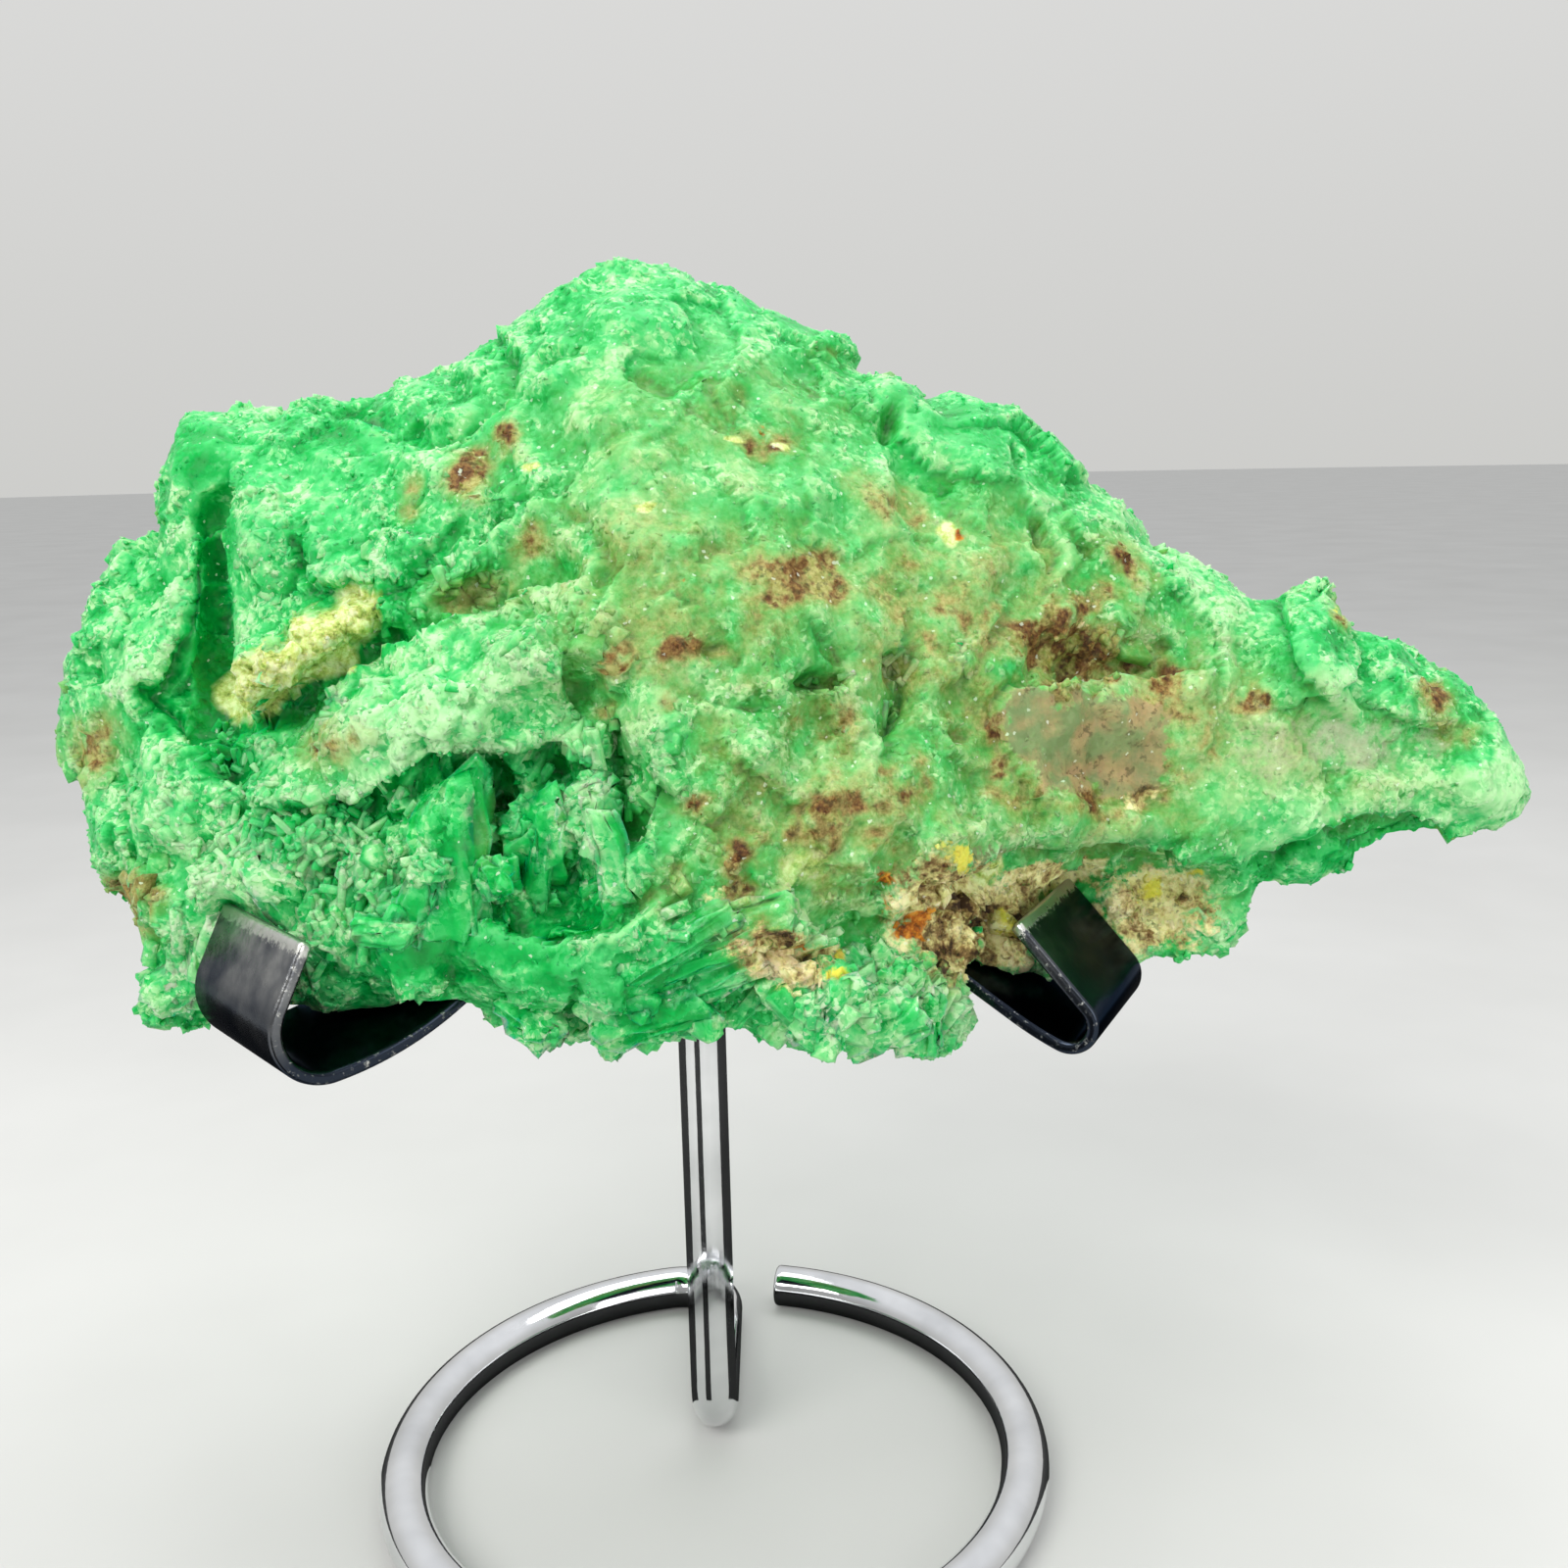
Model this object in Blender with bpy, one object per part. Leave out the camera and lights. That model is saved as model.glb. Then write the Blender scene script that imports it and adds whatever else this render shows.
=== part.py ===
"""A rough emerald specimen resting in the two claws of a bent wire display stand.

Everything is worked out in millimetres and stored in metres. While it is built, the origin is
the middle of the wire ring on the surface that it stands on; the last step moves the whole
object so that its origin is the middle of its footprint. The ring lies on z = 0, +X is the
long way of the stone, and -Y is the front, where the two claws reach up.
"""
import math

import bmesh
import bpy
import numpy as np
from mathutils import Matrix, Vector
from mathutils.kdtree import KDTree

MM = 0.001
GAP = 0.35

# The stand: one length of wire, bent to a ring, a spoke and a stem
WIRE = 5.0
WIRE_SIDES = 12
RING_RADIUS = 33.2
FREE_END_TURN = 78.7
SPOKE_BEND = 5.5
STEM_FOOT_BEND = 5.75
STEM_X = -0.3
STEM_Y = 3.2
END_CHAMFER = 0.5

# The cradle: two flat strips, bent to claws and joined on a small plate
STRIP_WIDTH = 16.0
STRIP = 1.2
HUB_Z = 75.6
HUB_RADIUS = 10.0
HUB_THICKNESS = 2.0
HUB_BEND = 6.0

# Each claw: its turn from the front, the slope of its arm, the middle and radius of its curl,
# the long bend before the curl, and the lean and length of its tip
LEFT_CLAW = dict(turn=-49.3, slope=-29.0, curl=(43.9, 63.1), curl_radius=4.5, sag_radius=28.0,
                 sag_end=-4.0, tip_heading=118.0, tip_length=5.8)
RIGHT_CLAW = dict(turn=63.7, slope=-31.0, curl=(41.3, 58.2), curl_radius=2.2, sag_radius=28.0,
                  sag_end=-22.0, tip_heading=133.0, tip_length=9.6)

# The stone is drawn as it is seen from the front: x runs to the right and w up its face, in the
# plane of its widest outline, and depth runs out of that plane to the eye
STONE_X = 8.9
STONE_Y = -8.7
STONE_Z = 77.4
LEAN = math.radians(12.06)
EYE_DISTANCE = 146.5

TOP_OUTLINE = ((-59.2, 6.5), (-58.3, 11.5), (-56.0, 18.3), (-51.5, 22.8), (-49.2, 23.8),
               (-46.8, 35.5), (-42.4, 35.7), (-31.4, 36.1), (-27.0, 37.9), (-20.3, 40.0),
               (-15.9, 42.5), (-11.4, 46.2), (-4.7, 48.9), (1.8, 47.2), (8.3, 44.2),
               (12.7, 41.6), (17.0, 37.8), (21.4, 36.5), (28.0, 36.0), (32.3, 31.7),
               (38.8, 27.3), (43.0, 21.6), (49.5, 18.2), (52.8, 16.0), (58.3, 17.4),
               (60.5, 16.6), (62.6, 13.3), (67.0, 11.0), (71.3, 7.9), (75.6, 3.0), (79.0, -1.5))
LOW_OUTLINE = ((-59.2, 6.5), (-58.5, 2.0), (-56.3, 0.2), (-54.3, -7.2), (-52.2, -9.3),
               (-50.2, -20.8), (-45.8, -20.5), (-42.0, -18.5), (-34.8, -19.4), (-28.2, -20.4),
               (-21.6, -19.9), (-17.3, -22.8), (-8.0, -22.2), (4.7, -21.3), (9.1, -22.3),
               (17.8, -24.4), (22.2, -24.6), (24.5, -23.3), (31.1, -19.9), (42.2, -16.9),
               (44.4, -18.6), (46.6, -17.3), (51.1, -12.9), (53.4, -9.3), (60.0, -8.3),
               (68.8, -6.7), (75.4, -5.6), (77.7, -4.3), (79.0, -1.5))

# How far the face bulges out and the back bulges away, and where the lowest edge lies, along x
FACE_DEPTH = ((-59.2, 4), (-50, 9), (-38, 12), (-25, 15), (-5, 17), (12, 15), (30, 11),
              (45, 8), (60, 6), (72, 4), (79, 2))
BACK_DEPTH = ((-59.2, 8), (-50, 17), (-38, 23), (-20, 27), (0, 29), (20, 28), (38, 24),
              (52, 18), (64, 12), (79, 6))
KEEL_DEPTH = ((-59.2, 0), (-50, 1), (-38, 4), (-20, 9), (8, 9), (20, 7), (30, 1),
              (40, -5), (52, -3), (79, 0))
CREST_DEPTH = ((-59.2, -2), (-10, -4), (30, -6), (79, -1))

# Relief of the face. A lump is its middle, its two half-widths, its turn in degrees, its height
# (a hollow has less than none), and how flat its top is: 2 is round and 6 is a plate.
LUMPS = (
    ((-45.0, 32.0), (2.8, 4.2), 0, 2.5, 4),
    ((-51.5, 15.5), (4.5, 8.0), -25, 2.6, 4),
    ((-55.0, 3.0), (3.5, 4.0), 0, -2.5, 3),
    ((-49.0, 0.0), (4.0, 5.0), 40, 1.8, 3),
    ((-50.0, -12.0), (4.0, 4.0), 0, 2.0, 3),
    ((-46.5, -17.5), (3.2, 3.2), 0, 2.0, 3),
    ((-24.5, 34.8), (6.5, 2.6), 15, -3.4, 3),
    ((-35.5, 26.0), (6.0, 6.0), 20, 1.6, 3),
    ((-22.0, 25.0), (4.0, 3.0), 30, -1.6, 3),
    ((-17.0, 20.5), (4.2, 2.2), 35, -3.4, 3),
    ((-29.0, 14.0), (2.6, 2.0), 0, -2.4, 3),
    ((-40.5, 4.5), (3.4, 2.6), 20, -4.0, 3),
    ((-24.0, 8.0), (12.0, 5.0), 22, 3.2, 3),
    ((-38.0, -4.0), (6.0, 6.0), 35, 2.6, 3),
    ((-15.5, -3.5), (9.5, 6.5), 15, -5.0, 4),
    ((-19.0, -1.0), (3.0, 3.4), 0, -2.6, 4),
    ((-12.0, -9.0), (4.0, 2.6), 20, -2.0, 3),
    ((-28.0, -13.5), (6.0, 4.0), -12, 2.4, 3),
    ((-8.0, -17.5), (7.0, 4.0), -10, 2.6, 3),
    ((2.0, 22.0), (17.0, 12.0), -20, 1.6, 4),
    ((13.6, 12.5), (1.8, 3.0), 10, -2.8, 3),
    ((19.0, 9.0), (1.6, 3.2), -15, -2.4, 3),
    ((24.5, 33.5), (7.0, 3.0), -20, 1.4, 4),
    ((38.4, 10.6), (7.5, 3.0), -6, -2.8, 4),
    ((34.0, 4.6), (4.6, 4.0), -20, 1.4, 6),
    ((44.0, 6.0), (4.0, 5.0), 0, 0.9, 4),
    ((35.0, -3.0), (8.0, 2.4), 0, 1.6, 3),
    ((16.0, -21.0), (7.5, 3.4), -8, 2.2, 3),
    ((59.3, 11.5), (3.6, 6.0), 10, 2.6, 4),
    ((53.0, 12.0), (2.2, 4.0), 0, -1.8, 3),
    ((65.8, 2.6), (4.0, 3.0), 0, -1.4, 3),
    ((74.6, -1.6), (4.2, 3.6), 0, 3.0, 4),
)
# A ridge or groove follows a line, with its half-width, its height and its flatness.
RIDGES = (
    (((-42.6, 27.0), (-42.4, 18.0), (-43.8, 7.0)), 1.9, -5.5, 3),
    (((-47.5, 22.0), (-46.5, 10.0)), 2.6, -2.6, 2),
    (((-28.5, 33.8), (-23.4, 31.9), (-17.0, 34.9), (-6.7, 41.1)), 1.8, 1.7, 2),
    (((-37.5, 7.5), (-24.7, 14.0), (-12.7, 19.5)), 3.0, -2.6, 3),
    (((-41.5, 9.3), (-35.0, 13.0), (-30.0, 17.0)), 2.4, 2.6, 4),
    (((-43.0, 1.0), (-27.6, 10.0), (-9.0, 14.8)), 3.2, 1.6, 3),
    (((-9.2, 10.5), (-6.6, 4.0), (-5.4, -2.4)), 1.3, -3.4, 3),
    (((-34.5, -13.7), (-20.8, -16.8), (-1.0, -20.5)), 2.4, 1.6, 3),
    (((15.2, 37.5), (32.4, 29.0), (50.5, 16.4)), 2.4, 1.4, 3),
)
# Below this line the face steps back to the gritty seat of the right claw.
LEDGE = ((9.0, -15.0), (14.0, -11.4), (27.0, -7.4), (38.0, -6.6), (50.0, -8.6), (56.0, -13.0))
LEDGE_STEP = 7.5
LEDGE_SOFT = 0.9

# Guessed relief of the hidden back, seen through the stone from the front
BACK_LUMPS = (
    ((-38.0, 20.0), (9.0, 9.0), 20, 3.0, 4),
    ((-18.0, 32.0), (10.0, 7.0), 15, 2.4, 4),
    ((6.0, 20.0), (13.0, 10.0), -25, 3.2, 5),
    ((-22.0, 8.0), (7.0, 6.0), 0, -3.4, 3),
    ((27.0, 22.0), (8.0, 6.0), -25, -2.6, 3),
    ((36.0, 6.0), (9.0, 6.0), -10, 2.6, 5),
    ((56.0, 6.0), (7.0, 5.0), 0, 1.8, 4),
    ((-49.0, 4.0), (5.0, 7.0), 0, 2.0, 4),
)

# Broken facets all over: the spread of their middles, and how far they tilt and stand out
FACET_SPREAD = 5.6
FACET_TILT = 0.26
FACET_RISE = 0.65
FACET_SEED = 11

STATIONS = 150
FACE_ROWS = 52
BACK_ROWS = 36
SKIN_GRID = 0.9
STONE_DETAIL = 0.064

# Six-sided crystals that stand out of the mass: the middle as seen, the turn in the face from
# +X, the tilt to the eye, length, radius, and how far the middle stands out of the surface
CRYSTALS = (
    ((-4.5, -20.6), 12, 8, 9.5, 3.4, -1.2),
    ((-15.2, -21.2), -50, 5, 5.5, 2.2, -0.9),
    ((0.5, -18.4), 22, 12, 12.0, 2.0, -0.6),
    ((-1.5, -14.6), 28, 8, 11.0, 1.7, -0.2),
    ((4.6, -13.0), 12, 10, 9.0, 1.9, -0.4),
    ((9.4, -18.4), -42, 10, 11.0, 1.6, 0.2),
    ((12.6, -21.6), 66, 16, 6.5, 2.6, -0.9),
    ((17.4, -22.4), 20, 12, 7.0, 2.8, -1.1),
    ((21.2, -22.4), 84, 18, 6.0, 2.4, -0.9),
    ((15.4, -18.6), -60, 22, 6.0, 1.9, -0.2),
    ((-21.6, -5.6), 86, 8, 11.0, 2.7, 0.6),
    ((-24.8, -10.4), 62, 20, 8.5, 2.0, 0.3),
    ((-18.4, -9.4), 40, 50, 5.0, 2.3, 0.8),
    ((-14.0, -5.6), 78, 14, 9.0, 1.2, 1.6),
    ((-11.0, -3.0), 30, 28, 8.0, 3.1, 1.2),
    ((-7.6, -6.4), 100, 18, 8.0, 1.7, 1.0),
    ((-26.8, -14.6), 105, 14, 7.5, 2.1, -0.3),
    ((-31.0, -9.0), 80, 24, 7.0, 2.4, -0.4),
    ((-9.6, -14.2), 8, 14, 10.0, 2.3, -0.4),
    ((-44.8, -14.4), 65, 20, 6.5, 2.3, -0.6),
    ((-48.4, -17.6), 30, 8, 6.0, 2.1, -1.0),
    ((-38.0, -9.5), 120, 25, 6.5, 2.4, -0.6),
)
BACK_CRYSTALS = (
    ((-8.0, 34.0), 40, 14, 9.0, 3.0, -0.8),
    ((-30.0, 8.0), 100, 18, 10.0, 2.8, -0.4),
    ((-24.0, 13.0), 60, 12, 9.0, 2.4, -0.8),
    ((18.0, 8.0), 20, 12, 10.0, 3.0, -0.8),
    ((44.0, 12.0), 150, 16, 8.0, 2.4, -0.6),
    ((-45.0, 22.0), 70, 20, 8.0, 2.5, -0.6),
)
CRYSTAL_SIDES = 6
CRYSTAL_TAPER = 0.86
CRYSTAL_FLATNESS = 0.72


def clear_scene():
    """Remove whatever the file holds, so that the script can be run again."""
    for item in list(bpy.data.objects):
        bpy.data.objects.remove(item, do_unlink=True)


def material(name, colour, roughness, metallic):
    """A Principled material in one colour."""
    made = bpy.data.materials.new(name)
    made.use_nodes = True
    shader = made.node_tree.nodes["Principled BSDF"]
    shader.inputs["Base Color"].default_value = (*colour, 1.0)
    shader.inputs["Roughness"].default_value = roughness
    shader.inputs["Metallic"].default_value = metallic
    return made


def add_object(name, bm, finish=None):
    """Store a bmesh that is in millimetres as an object in metres."""
    bmesh.ops.scale(bm, vec=(MM, MM, MM), verts=bm.verts)
    bmesh.ops.recalc_face_normals(bm, faces=bm.faces)
    mesh = bpy.data.meshes.new(name)
    bm.to_mesh(mesh)
    bm.free()
    if finish is not None:
        mesh.materials.append(finish)
    made = bpy.data.objects.new(name, mesh)
    bpy.context.scene.collection.objects.link(made)
    return made


def as_cutter(tool):
    """Mark an object as a tool for a Boolean, which is no part of the model."""
    tool.hide_render = True
    tool.display_type = 'WIRE'
    return tool


def boolean(target, tool, operation):
    """Join a tool to the target, or cut it away."""
    modifier = target.modifiers.new(operation.lower(), 'BOOLEAN')
    modifier.operation = operation
    modifier.object = tool
    modifier.use_self = operation == 'UNION'
    return modifier


def bent(centre, radius, start, end, steps, turn=1):
    """Points of an arc in a flat profile, as (across, up, heading), turning left or right."""
    points = []
    for step in range(steps + 1):
        heading = math.radians(start + (end - start) * step / steps)
        across = centre[0] + turn * radius * math.sin(heading)
        up = centre[1] - turn * radius * math.cos(heading)
        points.append((across, up, heading))
    return points


def wire_path():
    """Middle line of the wire from its free end to the stem's top, as (point, side)."""
    up = Vector((0, 0, 1))
    rest = WIRE / 2
    inner = RING_RADIUS - SPOKE_BEND
    seam = math.degrees(math.acos((STEM_X - SPOKE_BEND) / inner))
    path = []
    ring_steps = 58
    for step in range(ring_steps + 1):
        angle = math.radians(FREE_END_TURN + (seam - 360 - FREE_END_TURN) * step / ring_steps)
        point = Vector((RING_RADIUS * math.cos(angle), RING_RADIUS * math.sin(angle), rest))
        tangent = Vector((math.sin(angle), -math.cos(angle), 0))
        path.append((point, tangent, tangent.cross(up)))
    middle = Vector((inner * math.cos(math.radians(seam)), inner * math.sin(math.radians(seam)), rest))
    bend_steps = 9
    for step in range(1, bend_steps + 1):
        angle = math.radians(seam * (1 - step / bend_steps))
        point = middle + SPOKE_BEND * Vector((math.cos(angle), math.sin(angle), 0))
        tangent = Vector((math.sin(angle), -math.cos(angle), 0))
        path.append((point, tangent, tangent.cross(up)))
    side = Vector((-1, 0, 0))
    foot_steps = 8
    for step in range(foot_steps + 1):
        angle = math.radians(90 * step / foot_steps)
        point = Vector((STEM_X, STEM_Y + STEM_FOOT_BEND * (1 - math.sin(angle)),
                        rest + STEM_FOOT_BEND * (1 - math.cos(angle))))
        path.append((point, Vector((0, -math.cos(angle), math.sin(angle))), side))
    top = HUB_Z - HUB_THICKNESS / 2 - GAP
    path.append((Vector((STEM_X, STEM_Y, top)), Vector((0, 0, 1)), side))
    return path


def make_ring_stand(finish):
    """The wire, swept along its path with flats above and below, so that it lies on a face."""
    bm = bmesh.new()
    corner = WIRE / 2 / math.cos(math.pi / WIRE_SIDES)
    path = wire_path()
    first, tangent, side = path[0]
    rings = [(first, tangent, side, corner - END_CHAMFER)]
    rings += [(point, tangent, side, corner) for point, tangent, side in path]
    rings[1] = (first + END_CHAMFER * tangent, tangent, side, corner)
    loops = []
    for point, tangent, side, radius in rings:
        rise = side.cross(tangent)
        loop = []
        for index in range(WIRE_SIDES):
            angle = 2 * math.pi * (index + 0.5) / WIRE_SIDES
            offset = math.cos(angle) * side + math.sin(angle) * rise
            loop.append(bm.verts.new(point + radius * offset))
        loops.append(loop)
    for near, far in zip(loops, loops[1:]):
        for index in range(WIRE_SIDES):
            after = (index + 1) % WIRE_SIDES
            bm.faces.new((near[index], near[after], far[after], far[index]))
    bm.faces.new(loops[0])
    bm.faces.new(loops[-1])
    stand = add_object("ring_stand", bm, finish)
    stand.data.shade_smooth()
    stand.data.set_sharp_from_angle(angle=math.radians(40))
    return stand


def claw_profile(claw):
    """Middle line of one strip, from the hub out to its tip, as (reach, height, heading)."""
    curl = bent(claw["curl"], claw["curl_radius"], claw["sag_end"], claw["tip_heading"], 12)
    start = math.radians(claw["sag_end"])
    sag_middle = (curl[0][0] - claw["sag_radius"] * math.sin(start),
                  curl[0][1] + claw["sag_radius"] * math.cos(start))
    sag = bent(sag_middle, claw["sag_radius"], claw["slope"], claw["sag_end"], 5)
    slope = math.radians(claw["slope"])
    drop = HUB_BEND * (1 - math.cos(slope))
    reach = sag[0][0] - (HUB_Z - drop - sag[0][1]) / -math.tan(slope)
    hub_middle = (reach + HUB_BEND * math.sin(slope), HUB_Z - HUB_BEND)
    hub = bent(hub_middle, HUB_BEND, 0, claw["slope"], 4, turn=-1)
    heading = math.radians(claw["tip_heading"])
    tip = (curl[-1][0] + claw["tip_length"] * math.cos(heading),
           curl[-1][1] + claw["tip_length"] * math.sin(heading), heading)
    return hub + sag[:-1] + curl + [tip]


def beside(profile, distance):
    """The profile moved towards the stone, which lies on its left."""
    return [(reach - distance * math.sin(heading), height + distance * math.cos(heading))
            for reach, height, heading in profile]


def claw_prism(name, claw, outline, width, finish=None):
    """An outline of reach and height, drawn out to both sides of a claw's direction."""
    turn = math.radians(claw["turn"])
    outward = Vector((math.sin(turn), -math.cos(turn), 0))
    across = Vector((math.cos(turn), math.sin(turn), 0))
    stem = Vector((STEM_X, STEM_Y, 0))
    bm = bmesh.new()
    sides = []
    for shift in (-width / 2, width / 2):
        sides.append([bm.verts.new(stem + reach * outward + shift * across + Vector((0, 0, height)))
                      for reach, height in outline])
    count = len(outline)
    for index in range(count):
        after = (index + 1) % count
        bm.faces.new((sides[0][index], sides[0][after], sides[1][after], sides[1][index]))
    bm.faces.new(sides[0])
    bm.faces.new(sides[1])
    return add_object(name, bm, finish)


def disc(name, radius, low, high, finish=None):
    """An upright round plate or column on the stem's axis."""
    bm = bmesh.new()
    place = Matrix.Translation((STEM_X, STEM_Y, (low + high) / 2))
    bmesh.ops.create_cone(bm, cap_ends=True, segments=32, radius1=radius, radius2=radius,
                          depth=high - low, matrix=place)
    return add_object(name, bm, finish)


def make_claw_cradle(finish):
    """The plate on the stem with both strips joined to it."""
    plate = disc("claw_cradle", HUB_RADIUS, HUB_Z - HUB_THICKNESS / 2, HUB_Z + HUB_THICKNESS / 2, finish)
    for name, claw in (("left_strip", LEFT_CLAW), ("right_strip", RIGHT_CLAW)):
        profile = claw_profile(claw)
        outline = beside(profile, STRIP / 2) + beside(profile, -STRIP / 2)[::-1]
        boolean(plate, as_cutter(claw_prism(name, claw, outline, STRIP_WIDTH)), 'UNION')
    plate.data.shade_smooth()
    plate.data.set_sharp_from_angle(angle=math.radians(30))
    return plate


def placed(x, w, depth):
    """Points of the stone as seen (arrays), put where they are in space."""
    near = 1 - depth / EYE_DISTANCE
    side = STONE_X + (x - STONE_X) * near
    up = w * near
    y = STONE_Y + up * math.sin(LEAN) - depth * math.cos(LEAN)
    z = STONE_Z + up * math.cos(LEAN) + depth * math.sin(LEAN)
    return np.stack((side, y, z), axis=-1)


def lump_height(x, w, lump):
    """How far one lump raises the points (x, w)."""
    middle, radii, turn, height, flat = lump
    angle = math.radians(turn)
    along = (x - middle[0]) * math.cos(angle) + (w - middle[1]) * math.sin(angle)
    over = (w - middle[1]) * math.cos(angle) - (x - middle[0]) * math.sin(angle)
    reach = np.hypot(along / radii[0], over / radii[1])
    return height * np.exp(-reach ** flat)


def line_distance(x, w, line):
    """Distance of the points (x, w) from a bent line."""
    best = np.full(np.shape(x), np.inf)
    for (ax, aw), (bx, bw) in zip(line, line[1:]):
        run = (bx - ax) ** 2 + (bw - aw) ** 2
        share = np.clip(((x - ax) * (bx - ax) + (w - aw) * (bw - aw)) / run, 0, 1)
        best = np.minimum(best, np.hypot(x - ax - share * (bx - ax), w - aw - share * (bw - aw)))
    return best


def break_into_facets(bm):
    """Move each point along its normal, to the tilted plane of the facet that it is nearest to."""
    draw = np.random.RandomState(FACET_SEED)
    points = np.array([vertex.co for vertex in bm.verts])
    axes = [np.arange(points[:, k].min() - FACET_SPREAD, points[:, k].max() + FACET_SPREAD, FACET_SPREAD)
            for k in range(3)]
    middles = np.stack(np.meshgrid(*axes), axis=-1).reshape(-1, 3)
    middles = middles + draw.uniform(-0.5, 0.5, middles.shape) * FACET_SPREAD
    tilts = draw.uniform(-FACET_TILT, FACET_TILT, middles.shape)
    rises = draw.uniform(-FACET_RISE, FACET_RISE, len(middles))
    tree = KDTree(len(middles))
    for index, middle in enumerate(middles):
        tree.insert(middle, index)
    tree.balance()
    bm.normal_update()
    tips = points[:, 0].min(), points[:, 0].max()
    moves = []
    for vertex in bm.verts:
        middle, index, _ = tree.find(vertex.co)
        near_tip = min(vertex.co.x - tips[0], tips[1] - vertex.co.x)
        share = min(1.0, near_tip / (2 * FACET_SPREAD))
        tilt = Vector(tilts[index])
        moves.append(float(share * (rises[index] + tilt.dot(vertex.co - middle))))
    for vertex, move in zip(bm.verts, moves):
        vertex.co += move * vertex.normal


def at(table, x):
    """Read a table of (x, value) at the stations x."""
    return np.interp(x, [row[0] for row in table], [row[1] for row in table])


def ledge_step(x, w):
    """The step back below the ledge, fading out at both ends of its line."""
    line = at(LEDGE, x)
    inside = np.clip((x - LEDGE[0][0]) / 5, 0, 1) * np.clip((LEDGE[-1][0] - x) / 5, 0, 1)
    return -LEDGE_STEP * inside * 0.5 * (1 - np.tanh((w - line) / LEDGE_SOFT))


def spine_depth(x, t):
    """Depth of the stone's middle sheet, from its lowest edge (t = 0) to its crest (t = 1)."""
    return at(KEEL_DEPTH, x) * (1 - t) + at(CREST_DEPTH, x) * t


def end_closing(x):
    """Shrinks the sections to nothing at both ends of the stone."""
    near_end = np.minimum(x - TOP_OUTLINE[0][0], TOP_OUTLINE[-1][0] - x)
    return np.sqrt(np.clip(near_end / 4, 0, 1))


def face_depth(x, w):
    """Depth of the front face at the points (x, w) as seen."""
    low, high = at(LOW_OUTLINE, x), at(TOP_OUTLINE, x)
    t = np.clip((w - low) / np.maximum(high - low, 0.01), 0, 1)
    rim = (4 * t * (1 - t)) ** 0.42
    depth = at(FACE_DEPTH, x)
    for lump in LUMPS:
        depth = depth + lump_height(x, w, lump)
    for line, half_width, height, flat in RIDGES:
        depth = depth + height * np.exp(-(line_distance(x, w, line) / half_width) ** flat)
    depth = depth + ledge_step(x, w)
    return spine_depth(x, t) + np.maximum(depth, 1.5) * rim * end_closing(x)


def back_depth(x, w):
    """Depth of the back at the points (x, w) as seen through the stone."""
    low, high = at(LOW_OUTLINE, x), at(TOP_OUTLINE, x)
    t = np.clip((w - low) / np.maximum(high - low, 0.01), 0, 1)
    rim = t ** 1.2 * (1 - t) ** 0.5 / (0.7 ** 1.2 * 0.3 ** 0.5)
    depth = at(BACK_DEPTH, x)
    for lump in BACK_LUMPS:
        depth = depth + lump_height(x, w, lump)
    return spine_depth(x, t) - depth * rim * end_closing(x)


def station_places():
    """Where the sections stand along x: closer together where the outline is steep."""
    x = np.linspace(TOP_OUTLINE[0][0] + 0.15, TOP_OUTLINE[-1][0] - 0.15, 2000)
    rise = np.abs(np.diff(at(TOP_OUTLINE, x))) + np.abs(np.diff(at(LOW_OUTLINE, x)))
    travelled = np.concatenate(((0,), np.cumsum(np.diff(x) + 0.35 * rise)))
    return np.interp(np.linspace(0, travelled[-1], STATIONS), travelled, x)


def make_stone_mass(finish):
    """The stone before its crystals and its seat: sections round x, closed at both tips."""
    x = station_places()
    face_t = 0.5 - 0.5 * np.cos(np.linspace(0, math.pi, FACE_ROWS))
    back_t = 0.5 + 0.5 * np.cos(np.linspace(0, math.pi, BACK_ROWS))[1:-1]
    low, high = at(LOW_OUTLINE, x), at(TOP_OUTLINE, x)
    bm = bmesh.new()
    columns = []
    for t, depth_of in ((face_t, face_depth), (back_t, back_depth)):
        w = low[:, None] + (high - low)[:, None] * t
        spread_x = np.repeat(x[:, None], len(t), axis=1)
        columns.append(placed(spread_x, w, depth_of(spread_x, w)))
    rings = [[bm.verts.new(point) for point in ring] for ring in np.concatenate(columns, axis=1)]
    for near, far in zip(rings, rings[1:]):
        for index in range(len(near)):
            after = (index + 1) % len(near)
            bm.faces.new((near[index], far[index], far[after], near[after]))
    for (tip_x, tip_w), ring in ((TOP_OUTLINE[0], rings[0]), (TOP_OUTLINE[-1], rings[-1])):
        tip = bm.verts.new(placed(np.array(tip_x), np.array(tip_w), spine_depth(tip_x, 0.5)))
        for index in range(len(ring)):
            bm.faces.new((ring[index], ring[(index + 1) % len(ring)], tip))
    bmesh.ops.triangulate(bm, faces=bm.faces)
    bmesh.ops.recalc_face_normals(bm, faces=bm.faces)
    break_into_facets(bm)
    stone = add_object("emerald_specimen", bm, finish)
    skin = stone.modifiers.new("one_skin", 'REMESH')
    skin.mode = 'VOXEL'
    skin.voxel_size = SKIN_GRID * MM
    fewer = stone.modifiers.new("broad_facets", 'DECIMATE')
    fewer.ratio = STONE_DETAIL
    return stone


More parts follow.
